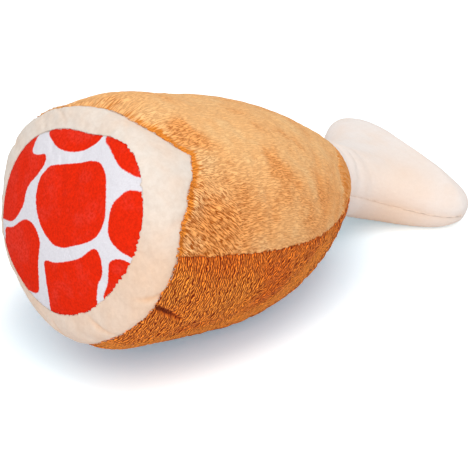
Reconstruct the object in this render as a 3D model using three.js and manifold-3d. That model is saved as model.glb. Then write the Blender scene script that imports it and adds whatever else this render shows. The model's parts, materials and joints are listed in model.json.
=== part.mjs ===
// Plush dog toy in the form of a ham leg on a bone, lying on its belly as it rests on a floor.
// Millimetres, +Z up. The ham's length runs along X, with the cut face towards -X and the bone towards +X.
// The covers are sewn plush shells over packed fibre, and a squeaker lies in the middle of the fibre.

import * as THREE from 'three';
import { mergeVertices } from 'three/addons/utils/BufferGeometryUtils.js';
import Module from 'manifold-3d';

const wasm = await Module();
wasm.setup();

// Fabric and clearances
const plushThickness = 2.5; // backing and pile of the ham's plush
const boneCoverThickness = 2; // the bone's shorter plush
const seamGap = 0.3; // between two sewn edges
const fillGap = 0.4; // between the fibre and what lies on it
const seatGap = 0.3; // between the squeaker's pieces

// Ham: a spine that dips towards the bone, and round sections along it
const hamLength = 183;
const hamRadius = 62;
const faceRadius = 58; // where the swell meets the cut face
const mouthRadius = 26; // where the bone comes out
const fullestShare = 0.4; // of the length, from the cut face
const widthShare = 1.07; // of each section's height
const facePower = 1.85; // how the swell eases off towards the face, and towards the mouth
const mouthPower = 1.87;
const tiltAtFace = 18; // degrees that the spine points down
const tiltAtMouth = 6.4;
const sidewaysBend = 14; // how far the spine has curved towards +Y at the mouth

// Cut face: a crowned disc and a ring that turns over the shoulder
const discRadius = 48;
const discCrown = 8;
const ringDepth = 15.5; // of the ring's far seam behind the face
// Sewn outlines wander, so each has its share of the size at equal angles, from the camera's side upwards
const discShares = [0.92, 1.03, 1.14, 0.95, 0.97, 1.04, 1.07, 1.08, 1.01, 0.97, 0.9, 0.85];
const ringShares = [
  0.77, 0.8, 1.1, 1.66, 1.29, 0.8, 0.75, 0.43, 0.4, 0.62, 0.8, 0.78,
  0.85, 0.92, 1.0, 1.1, 1.2, 1.15, 1.05, 0.8, 0.5, 0.37, 0.5, 0.62,
];
const swellShares = [
  0.99, 0.995, 1.0, 1.0, 1.0, 0.985, 0.966, 0.968, 0.98, 1.02, 1.075, 1.08,
  1.03, 1.0, 0.99, 0.985, 0.99, 1.01, 1.025, 1.01, 0.985, 0.985, 0.99, 0.99,
];
const swellFadePower = 0.7;
// The stuffed body puffs up behind the ring's seam. Each puff has its angle and spread in degrees, its height, how
// soon it rises behind the seam and how far it reaches.
const puffs = [
  { angle: 89, spread: 26, height: 9, rise: 8, reach: 46 },
  { angle: -65, spread: 25, height: 3.5, rise: 6, reach: 30 },
];
// The plush is gathered in shallow dips towards the mouth. Each has its place along the ham at its middle angle, how
// far it slants for each degree, its depth, half width and spread.
const gathers = [
  { place: 137, angle: 48, slant: 0.7, depth: 1.4, width: 5, spread: 24 },
  { place: 134, angle: 125, slant: -0.3, depth: 1.2, width: 5, spread: 22 },
  { place: 150, angle: -60, slant: 0.2, depth: 1.2, width: 5, spread: 30 },
];

// Panel seam along each side, and the hem at the mouth
const seamAngleAtFace = 6.5; // degrees above the section's side
const seamAngleAtMouth = -1.8;
const hemWidth = 4;
const hemRise = 0.7;

// Where the toy lies
const beddingDepth = 4; // how far the belly is pressed up by the floor
const lobeBeddingDepth = 3; // the same for the bone's lower lobe
const beddingEase = 2; // how softly the pressed patch runs into the round
const flatCut = 0.5;

// Bone: a ball root in the mouth, a neck, and a pillow with two lobes
const neckSwing = 15; // degrees up and down
const neckSpareSwing = 9; // more ball beyond the swing, because the bone leaves the mouth at a slant
const rootOpeningAngle = 25; // the cover is gathered to an opening at the back of the ball
const lobeReach = 80; // from the ball's centre to the lobes' centres
const lobeRadius = 16;
const lobeSpread = 38; // of each lobe's centre from the middle
const boneThickness = 37;
const notchDepth = 7;
const notchWidth = 20;
const boneRoll = 12; // degrees, the lobe on the camera's side lower
const boneSideAngle = 3.2; // degrees towards +Y
const neckSag = 5; // of the neck's middle under the straight line
const neckFlarePower = 2;
const neckThinningShare = 0.9; // of the neck's length
const pillowPower = 0.75; // under 1, the pillow is fuller than an ellipse

// Squeaker: a blown bladder, a plug in its neck, and a reed in the plug
const bladderRadius = 24;
const bladderHeight = 22;
const bladderWall = 1.2;
const bladderBaseRadius = 17;
const collarRadius = 7.6;
const collarHeight = 4;
const plugFlangeRadius = 8.6;
const plugFlangeThickness = 1.6;
const plugStemLength = 10;
const plugBoreRadius = 3.4;
const bridgeHeight = 2.4; // of the bar across the bore that holds the reed's root
const reedThickness = 0.4;
const reedWidth = 4;
const reedLength = 8;
const squeakerPlaceShare = 0.42; // of the ham's length

// Fineness of the forms
const acrossPanel = 22; // and twice as many round the face, so that the covers' corners meet at the ring's seam
const alongPanel = 22;
const ringRows = 4;
const discRows = 4;
const aroundBone = 14;
const ballRows = 5;
const neckRows = 6;
const lobeRows = 4;
const alongFill = 11;
const aroundSqueaker = 28;
const spineSteps = 24;
const overrun = 5; // of every cutting solid
const socketSides = 44;

const degrees = THREE.MathUtils.degToRad;

// Colours and finishes
function plush(color) {
  return new THREE.MeshStandardMaterial({ color, roughness: 0.95, metalness: 0 });
}
const lightTan = plush(0xeeb06c);
const darkTan = plush(0xbd6124);
const cream = plush(0xf4ddc6);
const bonePlush = plush(0xf6e5d6);
const printedPlush = plush(0xe5331a);
const fibre = plush(0xf7f6f2);
const blownPlastic = new THREE.MeshStandardMaterial({ color: 0xf2f0ea, roughness: 0.35, metalness: 0 });
const plugPlastic = new THREE.MeshStandardMaterial({ color: 0xd9dde2, roughness: 0.4, metalness: 0 });
const reedPlastic = new THREE.MeshStandardMaterial({ color: 0x3c4046, roughness: 0.3, metalness: 0 });

// Welds a list of triangles into one closed body whose faces point out.
function weld(geometry) {
  const bare = geometry.clone();
  bare.deleteAttribute('normal');
  bare.deleteAttribute('uv');
  const merged = mergeVertices(bare);
  const place = merged.getAttribute('position');
  const [a, b, c] = [new THREE.Vector3(), new THREE.Vector3(), new THREE.Vector3()];
  const faces = [];
  let volume = 0;
  for (let i = 0; i < merged.index.count; i += 3) {
    const face = [merged.index.getX(i), merged.index.getX(i + 1), merged.index.getX(i + 2)];
    if (face[0] === face[1] || face[1] === face[2] || face[2] === face[0]) continue;
    a.fromBufferAttribute(place, face[0]);
    b.fromBufferAttribute(place, face[1]);
    c.fromBufferAttribute(place, face[2]);
    volume += a.dot(b.cross(c));
    faces.push(face);
  }
  const outward = volume > 0 ? faces : faces.map(([i, j, k]) => [i, k, j]);
  merged.setIndex(outward.flat());
  merged.computeVertexNormals();
  return merged;
}

function solidOf(geometry) {
  const closed = weld(geometry);
  const vertProperties = new Float32Array(closed.getAttribute('position').array);
  const triVerts = new Uint32Array(closed.index.array);
  return new wasm.Manifold(new wasm.Mesh({ numProp: 3, vertProperties, triVerts }));
}

function geometryOf(solid) {
  const { vertProperties, triVerts } = solid.getMesh();
  const geometry = new THREE.BufferGeometry();
  geometry.setAttribute('position', new THREE.BufferAttribute(vertProperties, 3));
  geometry.setIndex(new THREE.BufferAttribute(triVerts, 1));
  geometry.computeVertexNormals();
  return geometry;
}

// Two triangles for each cell of a grid of points, given as rows. Turned over, they keep their diagonals.
function gridTriangles(grid, over = false) {
  const corners = [];
  for (let i = 0; i + 1 < grid.length; i += 1) {
    for (let j = 0; j + 1 < grid[i].length; j += 1) {
      const [a, b, c, d] = [grid[i][j], grid[i][j + 1], grid[i + 1][j + 1], grid[i + 1][j]];
      corners.push(...(over ? [a, c, b, a, d, c] : [a, b, c, a, c, d]));
    }
  }
  return corners;
}

// A body bounded by one grid that closes on itself.
function gridBody(grid) {
  return weld(new THREE.BufferGeometry().setFromPoints(gridTriangles(grid)));
}

// A shell between an outer and an inner grid, closed along its open edges. A row that is round has no side edges.
function shellBody(outer, inner, round) {
  const last = outer.length - 1;
  const corners = gridTriangles(outer);
  corners.push(...gridTriangles(inner, true));
  corners.push(...gridTriangles([inner[0], outer[0]]));
  corners.push(...gridTriangles([outer[last], inner[last]]));
  if (!round) {
    const end = outer[0].length - 1;
    corners.push(...gridTriangles([outer.map((row) => row[0]), inner.map((row) => row[0])]));
    corners.push(...gridTriangles([inner.map((row) => row[end]), outer.map((row) => row[end])]));
  }
  return weld(new THREE.BufferGeometry().setFromPoints(corners));
}

function steps(count, from = 0, to = 1) {
  return Array.from({ length: count + 1 }, (_, i) => from + ((to - from) * i) / count);
}

// Angles right round, ending on the very first one so that the grid closes.
function roundAngles(count) {
  return Array.from({ length: count + 1 }, (_, i) => ((i % count) * 2 * Math.PI) / count);
}

// A smooth closed curve through shares that stand at equal angles.
function shareAt(shares, angle) {
  const turns = angle / (2 * Math.PI);
  const along = (turns - Math.floor(turns)) * shares.length;
  const first = Math.floor(along);
  const t = along - first;
  const [p, q, r, s] = [-1, 0, 1, 2].map((k) => shares[(first + k + shares.length) % shares.length]);
  const cubic = (3 * (q - r) + s - p) * t + (2 * p - 5 * q + 4 * r - s);
  return q + 0.5 * t * (r - p + t * cubic);
}

// Ham

// The spine's point and directions at a distance s from the face: along it, to the camera's side and up.
function spineAt(s) {
  const step = s / spineSteps;
  const centre = new THREE.Vector3(0, sidewaysBend * (s / hamLength) ** 2, 0);
  const tiltAt = (place) => degrees(tiltAtFace + ((tiltAtMouth - tiltAtFace) * place) / hamLength);
  for (let i = 0; i < spineSteps; i += 1) {
    const tilt = tiltAt((i + 0.5) * step);
    centre.x += Math.cos(tilt) * step;
    centre.z -= Math.sin(tilt) * step;
  }
  const slope = (2 * sidewaysBend * s) / hamLength ** 2;
  const along = new THREE.Vector3(Math.cos(tiltAt(s)), slope, -Math.sin(tiltAt(s))).normalize();
  const side = new THREE.Vector3().crossVectors(along, new THREE.Vector3(0, 0, 1)).normalize();
  const up = new THREE.Vector3().crossVectors(side, along);
  return { centre, along, side, up };
}

// The section's radius swells from the face to its fullest, then tapers to the mouth.
function hamRadiusAt(s) {
  const u = s / hamLength;
  const beforeFullest = Math.max((fullestShare - u) / fullestShare, 0);
  const pastFullest = Math.max((u - fullestShare) / (1 - fullestShare), 0);
  const faceTaper = (hamRadius - faceRadius) * beforeFullest ** facePower;
  const mouthTaper = (hamRadius - mouthRadius) * pastFullest ** mouthPower;
  return hamRadius - faceTaper - mouthTaper;
}

// Degrees from a middle angle, between -180 and 180.
function turnFrom(middle, angle) {
  return THREE.MathUtils.euclideanModulo(THREE.MathUtils.radToDeg(angle) - middle + 180, 360) - 180;
}

function bell(offset, width) {
  return Math.exp(-((offset / width) ** 2));
}

function swollenRadiusAt(s, angle) {
  const fade = Math.max(1 - s / hamLength, 0) ** swellFadePower;
  const even = hamRadiusAt(s) * (1 + (shareAt(swellShares, angle) - 1) * fade);
  const behind = Math.max(s - panelStart(angle, 0), 0);
  return puffs.reduce((radius, puff) => (
    radius + puff.height * (1 - Math.exp(-behind / puff.rise)) * bell(behind, puff.reach)
    * bell(turnFrom(puff.angle, angle), puff.spread)
  ), even);
}

function gatherDepth(s, angle) {
  return gathers.reduce((depth, gather) => {
    const turn = turnFrom(gather.angle, angle);
    return depth + gather.depth * bell(s - gather.place - gather.slant * turn, gather.width) * bell(turn, gather.spread);
  }, 0);
}

function sectionPoint(s, angle, radius) {
  const { centre, side, up } = spineAt(s);
  const point = centre.clone();
  point.addScaledVector(side, radius * widthShare * Math.cos(angle));
  point.addScaledVector(up, radius * Math.sin(angle));
  return point;
}

// Each place on the ham is found at a depth under its outer surface.
function discPoint(share, angle, depth, edgeGap) {
  const radius = discRadius * shareAt(discShares, angle) - edgeGap;
  return sectionPoint(depth - discCrown * (1 - share * share), angle, share * radius);
}

function ringPoint(share, angle, depth, edgeGap) {
  const turn = (share * Math.PI) / 2;
  const seam = ringDepth * shareAt(ringShares, angle);
  const inner = discRadius * shareAt(discShares, angle) - edgeGap;
  const rise = swollenRadiusAt(seam, angle) - depth - inner;
  return sectionPoint(seam - (seam - depth) * Math.cos(turn), angle, inner + rise * Math.sin(turn));
}

function panelPoint(s, angle, depth) {
  const hemShare = THREE.MathUtils.clamp((s - hamLength + hemWidth) / (hemWidth / 2), 0, 1);
  const rise = depth > 0 ? 0 : hemRise * hemShare - gatherDepth(s, angle);
  return sectionPoint(s, angle, swollenRadiusAt(s, angle) + rise - depth);
}

function panelStart(angle, gap) {
  return ringDepth * shareAt(ringShares, angle) + gap;
}

// The belly and the bone's lower lobe are pressed flat where they lie.
function bedded(point, depth) {
  const height = point.z + lift - depth;
  const eased = (height + Math.hypot(height, beddingEase)) / 2;
  return new THREE.Vector3(point.x, point.y, depth + Math.max(eased, flatCut) - flatCut);
}

// The ham is lifted so that its lowest line would lie just below the floor.
function liftToFloor() {
  const lowest = steps(alongPanel).map((share) => sectionPoint(
    hamLength * share, -Math.PI / 2, swollenRadiusAt(hamLength * share, -Math.PI / 2),
  ).z);
  return -Math.min(...lowest) - beddingDepth;
}
const lift = liftToFloor();
const mouthCentre = bedded(spineAt(hamLength).centre, 0);

// The angles of the panels' columns at the ring's seam, right round, ending on the very first one.
function faceAngles() {
  const near = degrees(panelSeamAngle(ringDepth));
  const far = Math.PI - near;
  const top = steps(acrossPanel, near, far).slice(0, -1);
  return [...top, ...steps(acrossPanel, far, near + 2 * Math.PI).slice(0, -1), near];
}

function meatDisc() {
  const angles = faceAngles();
  const sheet = (depth) => steps(discRows).map(
    (share) => angles.map((angle) => bedded(discPoint(share, angle, depth, seamGap), depth)),
  );
  return shellBody(sheet(0), sheet(plushThickness), true);
}

function faceRing() {
  const angles = faceAngles();
  const sheet = (depth) => steps(ringRows).map(
    (share) => angles.map((angle) => bedded(ringPoint(share, angle, depth, 0), depth)),
  );
  return shellBody(sheet(0), sheet(plushThickness), true);
}

// Where the panels' seam runs at a distance from the face.
function panelSeamAngle(s) {
  return seamAngleAtFace + ((seamAngleAtMouth - seamAngleAtFace) * s) / hamLength;
}

// Even rows up to the hem, then two across it.
function panelRow(row, start) {
  const hemStart = hamLength - hemWidth;
  if (row <= alongPanel) return start + ((hemStart - start) * row) / alongPanel;
  return hemStart + (hemWidth * (row - alongPanel)) / 2;
}

// One panel between the seam on one side and the seam on the other. The top one spans the upper side.
function bodyPanel(upper) {
  const sheet = (depth) => Array.from({ length: alongPanel + 3 }, (_, row) => steps(acrossPanel).map((share) => {
    const nominal = panelRow(row, ringDepth);
    const halfGap = seamGap / 2 / hamRadiusAt(nominal);
    const nearSeam = degrees(panelSeamAngle(nominal));
    const farSeam = Math.PI - nearSeam;
    const [from, to] = upper ? [nearSeam, farSeam] : [farSeam, nearSeam + 2 * Math.PI];
    const angle = from + halfGap + (to - from - 2 * halfGap) * share;
    return bedded(panelPoint(panelRow(row, panelStart(angle, seamGap)), angle, depth), depth);
  }));
  return shellBody(sheet(0), sheet(plushThickness), false);
}

// Bone

const ballRadius = mouthRadius - plushThickness - 2 * seamGap;
const ballEndAngle = degrees(90 + neckSwing + neckSpareSwing);
const neckStart = -ballRadius * Math.cos(ballEndAngle);
const neckHalfWidth = ballRadius * Math.sin(ballEndAngle);
const lobeHalfWidth = lobeSpread + lobeRadius;

// The bone points down so far that its lower lobe is pressed on the floor.
const lobeDrops = steps(aroundBone, 0, Math.PI).map((angle) => (
  lobeHalfWidth * Math.cos(angle) * Math.sin(degrees(boneRoll))
  + (boneThickness / 2) * Math.sin(angle) ** pillowPower * Math.cos(degrees(boneRoll))
));
const lobeDrop = Math.max(...lobeDrops) - lobeBeddingDepth;
const boneTilt = Math.asin(THREE.MathUtils.clamp((mouthCentre.z - lobeDrop) / lobeReach, -1, 1));
const boneSide = degrees(boneSideAngle);
const boneAlong = new THREE.Vector3(
  Math.cos(boneTilt) * Math.cos(boneSide), Math.cos(boneTilt) * Math.sin(boneSide), -Math.sin(boneTilt),
);
const levelAcross = new THREE.Vector3().crossVectors(boneAlong, new THREE.Vector3(0, 0, 1)).normalize();
const boneAcross = levelAcross.clone().applyAxisAngle(boneAlong, degrees(boneRoll));
const boneUp = new THREE.Vector3().crossVectors(boneAcross, boneAlong);

function fuller(height, power) {
  return Math.sign(height) * Math.abs(height) ** power;
}

// The far edge of the pillow at a place across it: two round lobes and a shallow notch.
function lobeEnd(across, depth) {
  const pastSpread = THREE.MathUtils.clamp((Math.abs(across) - lobeSpread) / (lobeRadius - depth), 0, 1);
  const round = (lobeRadius - depth) * Math.sqrt(1 - pastSpread * pastSpread);
  return lobeReach + round - notchDepth * Math.exp(-((across / notchWidth) ** 2));
}

// Stations along the bone, from the back of the ball to the ends of the lobes. Each gives a point of the bone's
// own frame for a place across it, from -1 to 1, and a height, from -1 to 1, at a depth under the surface.
function ballStation(angle) {
  return (across, height, depth) => {
    const radius = ballRadius - depth;
    const round = radius * Math.sin(angle);
    return [-radius * Math.cos(angle), round * across, round * height];
  };
}

function neckStation(share) {
  return (across, height, depth) => {
    const swell = THREE.MathUtils.smoothstep(share, 0, 1) ** neckFlarePower;
    const thinning = THREE.MathUtils.smoothstep(share, 0, neckThinningShare);
    const halfWidth = THREE.MathUtils.lerp(neckHalfWidth, lobeHalfWidth, swell) - depth;
    const halfThickness = THREE.MathUtils.lerp(neckHalfWidth, boneThickness / 2, thinning) - depth;
    const full = fuller(height, THREE.MathUtils.lerp(1, pillowPower, thinning));
    const sag = neckSag * Math.sin(Math.PI * share);
    return [neckStart + (lobeReach - neckStart) * share, halfWidth * across, halfThickness * full - sag];
  };
}

function lobeStation(share) {
  const turn = (share * Math.PI) / 2;
  return (across, height, depth) => {
    const place = (lobeHalfWidth - depth) * across;
    const reach = lobeReach + (lobeEnd(place, depth) - lobeReach) * Math.sin(turn);
    return [reach, place, (boneThickness / 2 - depth) * fuller(Math.cos(turn) * height, pillowPower)];
  };
}

function boneStations(rootAngle) {
  return [
    ...steps(ballRows, rootAngle, ballEndAngle).map(ballStation),
    ...steps(neckRows).slice(1).map(neckStation),
    ...steps(lobeRows).slice(1).map(lobeStation),
  ];
}

function bonePoint([along, across, height], lean, depth) {
  const point = mouthCentre.clone();
  point.z -= lift - flatCut;
  point.addScaledVector(boneAlong, along);
  point.addScaledVector(boneAcross, across);
  point.addScaledVector(boneUp, height + lean);
  return bedded(point, depth);
}

function boneCover(upper) {
  const [from, to, lean] = upper ? [0, Math.PI, seamGap / 2] : [Math.PI, 2 * Math.PI, -seamGap / 2];
  const angles = steps(aroundBone, from, to);
  const sheet = (depth) => boneStations(degrees(rootOpeningAngle)).map((station) => angles.map(
    (angle) => bonePoint(station(Math.cos(angle), Math.sin(angle), depth), lean, depth),
  ));
  return shellBody(sheet(0), sheet(boneCoverThickness), false);
}

function boneFill() {
  const depth = boneCoverThickness + fillGap;
  const angles = roundAngles(2 * aroundBone);
  const rows = boneStations(0).map((station) => angles.map(
    (angle) => bonePoint(station(Math.cos(angle), Math.sin(angle), depth), 0, depth),
  ));
  return gridBody(rows);
}

// Squeaker, standing on its base at the middle of its own frame

function turned(profile) {
  const points = profile.map(([radius, height]) => new THREE.Vector2(radius, height));
  return weld(new THREE.LatheGeometry(points, aroundSqueaker).rotateX(Math.PI / 2));
}

// The bulging wall of the bladder, from its base to its collar, drawn in by a depth.
function bladderSide(depth, rows) {
  const middle = bladderHeight / 2;
  return steps(rows, -Math.PI / 2, Math.PI / 2).map((turn) => {
    const foot = turn < 0 ? bladderBaseRadius : collarRadius;
    const out = (bladderRadius - foot) * Math.cos(turn);
    return [foot + out - depth, middle + (middle - depth) * Math.sin(turn)];
  });
}

function squeakerBladder() {
  const neckTop = bladderHeight + collarHeight;
  return turned([
    [0, 0],
    ...bladderSide(0, 10),
    [collarRadius, neckTop],
    [collarRadius - bladderWall, neckTop],
    ...bladderSide(bladderWall, 10).reverse(),
    [0, bladderWall],
  ]);
}

const flangeSeat = bladderHeight + collarHeight + seatGap;
const flangeTop = flangeSeat + plugFlangeThickness;
const stemRadius = collarRadius - bladderWall - seatGap;

function squeakerPlug() {
  const stemFoot = flangeSeat - plugStemLength;
  const body = solidOf(turned([
    [plugBoreRadius, stemFoot],
    [stemRadius, stemFoot],
    [stemRadius, flangeSeat],
    [plugFlangeRadius, flangeSeat],
    [plugFlangeRadius, flangeTop],
    [plugBoreRadius, flangeTop],
    [plugBoreRadius, stemFoot],
  ]));
  const bridge = new THREE.BoxGeometry(stemRadius + plugBoreRadius, reedWidth, bridgeHeight);
  bridge.translate(0, 0, flangeTop - bridgeHeight / 2 - seatGap);
  const slot = new THREE.BoxGeometry(reedThickness + 2 * seatGap, reedWidth + overrun, bridgeHeight + 2 * overrun);
  slot.translate(0, 0, flangeTop - bridgeHeight / 2);
  const bore = new THREE.CylinderGeometry(plugBoreRadius, plugBoreRadius, 2 * plugStemLength, aroundSqueaker);
  bore.rotateX(Math.PI / 2).translate(0, 0, flangeSeat);
  const slottedBridge = solidOf(bridge).subtract(solidOf(slot).intersect(solidOf(bore)));
  return geometryOf(body.add(slottedBridge));
}

function squeakerReed() {
  const reed = new THREE.BoxGeometry(reedThickness, reedWidth, reedLength);
  return weld(reed.translate(0, 0, flangeTop - seatGap - reedLength / 2));
}

// The space that the squeaker fills in the fibre. Its neck lets the plug travel when the bladder is squeezed.
function squeakerPocket() {
  return turned([
    [0, -fillGap],
    ...bladderSide(-fillGap, 8).map(([radius, height]) => [Math.max(radius, plugFlangeRadius + fillGap), height]),
    [plugFlangeRadius + fillGap, flangeTop + fillGap],
    [0, flangeTop + fillGap],
  ]);
}

// Ham's fibre

const squeakerSeat = spineAt(hamLength * squeakerPlaceShare).centre;
squeakerSeat.z += lift - bladderHeight / 2;

// The whole space inside the covers, from the face to just short of the hem.
function hamFilling() {
  const depth = plushThickness + fillGap;
  const angles = faceAngles();
  const end = hamLength - hemWidth - fillGap;
  const row = (place) => angles.map((angle) => bedded(place(angle), depth));
  const rows = [
    ...steps(2).map((share) => row((angle) => discPoint(share, angle, depth, fillGap))),
    ...steps(ringRows).slice(1).map((share) => row((angle) => ringPoint(share, angle, depth, fillGap))),
    ...steps(alongFill).slice(1).map((share) => row((angle) => {
      const start = panelStart(angle, 0);
      return panelPoint(start + (end - start) * share, angle, depth);
    })),
    row((angle) => sectionPoint(end, angle, 0)),
  ];
  const socket = new THREE.SphereGeometry(ballRadius + 2 * seamGap, socketSides, socketSides / 2);
  socket.translate(mouthCentre.x, mouthCentre.y, mouthCentre.z);
  const pocket = squeakerPocket().translate(squeakerSeat.x, squeakerSeat.y, squeakerSeat.z);
  return solidOf(gridBody(rows)).subtract(solidOf(socket)).subtract(solidOf(pocket));
}
const filling = hamFilling();

// The fibre goes in as two wads that part at the bladder's widest line.
function fillWad(upper) {
  const reach = 2 * hamLength;
  const half = new THREE.BoxGeometry(2 * reach, reach, reach);
  const parting = squeakerSeat.z + bladderHeight / 2;
  const rise = (reach + seamGap) / 2;
  half.translate(0, 0, upper ? parting + rise : parting - rise);
  return geometryOf(filling.intersect(solidOf(half)));
}

// Assembly

function piece(name, geometry, material) {
  const mesh = new THREE.Mesh(geometry, material);
  mesh.name = name;
  return mesh;
}

const ham = new THREE.Group();
ham.add(piece('meat_disc', meatDisc(), printedPlush));
ham.add(piece('face_ring', faceRing(), cream));
ham.add(piece('body_top_panel', bodyPanel(true), lightTan));
ham.add(piece('body_under_panel', bodyPanel(false), darkTan));
ham.add(piece('fill_lower_wad', fillWad(false), fibre));
ham.add(piece('fill_upper_wad', fillWad(true), fibre));

const bone = new THREE.Group();
bone.add(piece('bone_upper_cover', boneCover(true), bonePlush));
bone.add(piece('bone_lower_cover', boneCover(false), bonePlush));
bone.add(piece('bone_fill', boneFill(), fibre));

const squeaker = new THREE.Group();
squeaker.add(piece('squeaker_bladder', squeakerBladder(), blownPlastic));
squeaker.add(piece('squeaker_plug', squeakerPlug(), plugPlastic));
squeaker.add(piece('squeaker_reed', squeakerReed(), reedPlastic));
squeaker.position.copy(squeakerSeat);

const toy = new THREE.Group();
toy.add(ham, bone, squeaker);

// The origin is under the middle of the toy, on the floor.
const extent = new THREE.Box3().setFromObject(toy);
toy.position.x = -(extent.min.x + extent.max.x) / 2;
toy.position.y = -(extent.min.y + extent.max.y) / 2;

export default toy;
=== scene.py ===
"""Plush ham leg dog toy: a stuffed two-tone ham with a printed cut face in a cream ring, and a plush bone."""

import json
import math
from itertools import product

import bpy
import numpy as np
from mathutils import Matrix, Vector


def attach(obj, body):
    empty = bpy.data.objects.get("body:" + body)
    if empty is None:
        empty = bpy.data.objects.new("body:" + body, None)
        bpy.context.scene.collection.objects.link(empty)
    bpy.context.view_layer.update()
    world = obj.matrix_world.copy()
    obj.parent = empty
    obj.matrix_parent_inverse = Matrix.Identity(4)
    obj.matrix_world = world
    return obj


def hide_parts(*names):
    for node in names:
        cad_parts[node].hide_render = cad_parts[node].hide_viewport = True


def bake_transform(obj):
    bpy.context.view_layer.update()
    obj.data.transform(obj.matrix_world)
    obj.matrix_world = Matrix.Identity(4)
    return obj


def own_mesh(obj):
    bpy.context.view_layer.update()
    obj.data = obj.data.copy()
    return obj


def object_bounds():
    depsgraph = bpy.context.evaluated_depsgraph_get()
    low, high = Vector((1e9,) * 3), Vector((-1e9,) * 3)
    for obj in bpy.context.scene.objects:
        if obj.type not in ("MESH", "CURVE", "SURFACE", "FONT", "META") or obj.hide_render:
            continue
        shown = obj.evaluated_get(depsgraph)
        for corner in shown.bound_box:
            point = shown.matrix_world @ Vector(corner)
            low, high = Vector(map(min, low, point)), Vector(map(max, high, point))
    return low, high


bl_info = {
    "name": "Plush ham leg toy",
    "version": (1, 0, 0),
    "blender": (4, 5, 0),
    "location": "View3D > Sidebar > Ham Toy",
    "description": "Builds the plush covers, seams and pile of a stuffed ham leg toy on its packed frame",
    "category": "Mesh",
}

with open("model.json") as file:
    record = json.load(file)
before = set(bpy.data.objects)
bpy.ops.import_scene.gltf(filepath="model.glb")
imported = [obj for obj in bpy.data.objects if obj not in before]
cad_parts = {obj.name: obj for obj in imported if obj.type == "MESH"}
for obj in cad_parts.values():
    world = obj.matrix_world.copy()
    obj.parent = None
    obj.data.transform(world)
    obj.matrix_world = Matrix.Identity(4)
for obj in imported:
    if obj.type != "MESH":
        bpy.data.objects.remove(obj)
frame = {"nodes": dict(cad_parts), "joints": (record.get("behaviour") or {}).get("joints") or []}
CAD_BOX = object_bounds()
NECK = next(joint for joint in frame["joints"] if joint["name"] == "neck_flex")

# Sewn outlines wander, so each has its share of the size at equal angles, from the camera's side upwards
DISC_SHARES = (0.92, 1.03, 1.14, 0.95, 0.97, 1.04, 1.07, 1.08, 1.01, 0.97, 0.9, 0.85)
RING_SHARES = (0.77, 0.8, 1.1, 1.66, 1.29, 0.8, 0.75, 0.43, 0.4, 0.62, 0.8, 0.78,
               0.85, 0.92, 1.0, 1.1, 1.2, 1.15, 1.05, 0.8, 0.5, 0.37, 0.5, 0.62)
SWELL_SHARES = (0.99, 0.995, 1.0, 1.0, 1.0, 0.985, 0.966, 0.968, 0.98, 1.02, 1.075, 1.08,
                1.03, 1.0, 0.99, 0.985, 0.99, 1.01, 1.025, 1.01, 0.985, 0.985, 0.99, 0.99)

# Every so many rows and columns of a cover have one of its backing, which stays this far under the deepest sinks
BACKING_STEP = 8
RING_BACKING_STEP = 6
BACKING_CLEARANCE = 0.0005

# How far down the rows of a turned edge go, and the share of the cover's thickness that they reach
TURNED_ROWS = (1.0, 0.66, 0.33)
TURN_SHARE = 0.8
BODY_TURN_SHARE = 0.9

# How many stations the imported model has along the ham, and over half of a lobe's section
STATIONS = 23
LOBE_STATIONS = 15

# Width of the ring over its shoulder, how deep its creases are, and how far they slant over it, in degrees
RING_WIDTH = 0.024
RING_CREASE_DEPTH = 0.0012
RING_CREASE_SLANT = 14

# The disc's mesh starts at this share of its edge, round its pole
POLE_SHARE = 0.02

# A panel's width over half the fullest section's round, how far the mouth is cut back on the camera's side, and how
# the nap of the under panel slants
PANEL_WIDTH = 0.93
MOUTH_SLANT = 0.029
NAP_SHEAR = 0.02

# Jags of the pile by a seam: spacing, level, height and reach, and the noise's seed
RING_INNER_JAGS = (0.0012, 0.35, 0.0022, 0.0010, 7)
RING_OUTER_JAGS = (0.0016, 0.4, 0.0024, 0.0012, 8)
BODY_RING_JAGS = (0.0013, 0.35, 0.0022, 0.0012, 41)
BODY_SIDE_JAGS = (0.0012, 0.3, 0.0024, 0.0012, 43)

# The hem's groove, the rim past it, and how its edge is rounded
HEM_GROOVE_DEPTH, HEM_GROOVE_WIDTH = 0.0010, 0.0014
HEM_RIM_HEIGHT, HEM_RIM_WIDTH, HEM_RIM_PLACE = 0.0008, 0.0025, 0.0040
HEM_ROUND_DEPTH, HEM_ROUND_REACH = 0.0012, 0.0009

# How the covers' edges stand out by the disc, by the ring, there higher round an angle on the far side, and along the
# panel seam
DISC_LIP_HEIGHT, DISC_LIP_REACH = 0.0004, 0.0015
RING_LIP_HEIGHT, RING_LIP_REACH = 0.0007, 0.0018
FAR_LIP_HEIGHT, FAR_LIP_ANGLE, FAR_LIP_SPREAD = 0.0011, 140, 30
SIDE_LIP_HEIGHT, SIDE_LIP_REACH = 0.0006, 0.0015

# The level of the clumps that is the cover's own surface, and the clumps' size under the ham over that on top
CLUMP_LEVEL = 0.6
UNDER_LENGTH_SHARE, UNDER_WIDTH_SHARE = 0.45, 0.9

# How far the nap of the under panel swings over the top one's, and the tints of the two panels' sheen in sRGB
UNDER_SLANT_SHARE = 0.7
TAN_SHEEN, BROWN_SHEEN = (255, 226, 190), (240, 180, 130)

# Tufts: how deep their roots are, least half width, the length of those on the panel seam over the ring's, how long the
# patches of longer and shorter ones are, and tones from root to tip
ROOT_DEPTH, SIDE_ROOT_DEPTH, CREAM_ROOT_DEPTH = 0.0005, 0.0006, 0.0003
TUFT_HALF_WIDTH = 0.00016
SIDE_TUFT_SHARE = 0.45
TUFT_PATCH = 0.0040
BLADE_TONES = (-0.3, -0.1, 0.1, 0.2)

# Each side of a print cell's outline is drawn with so many short ones
CELL_SIDES = 8

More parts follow.
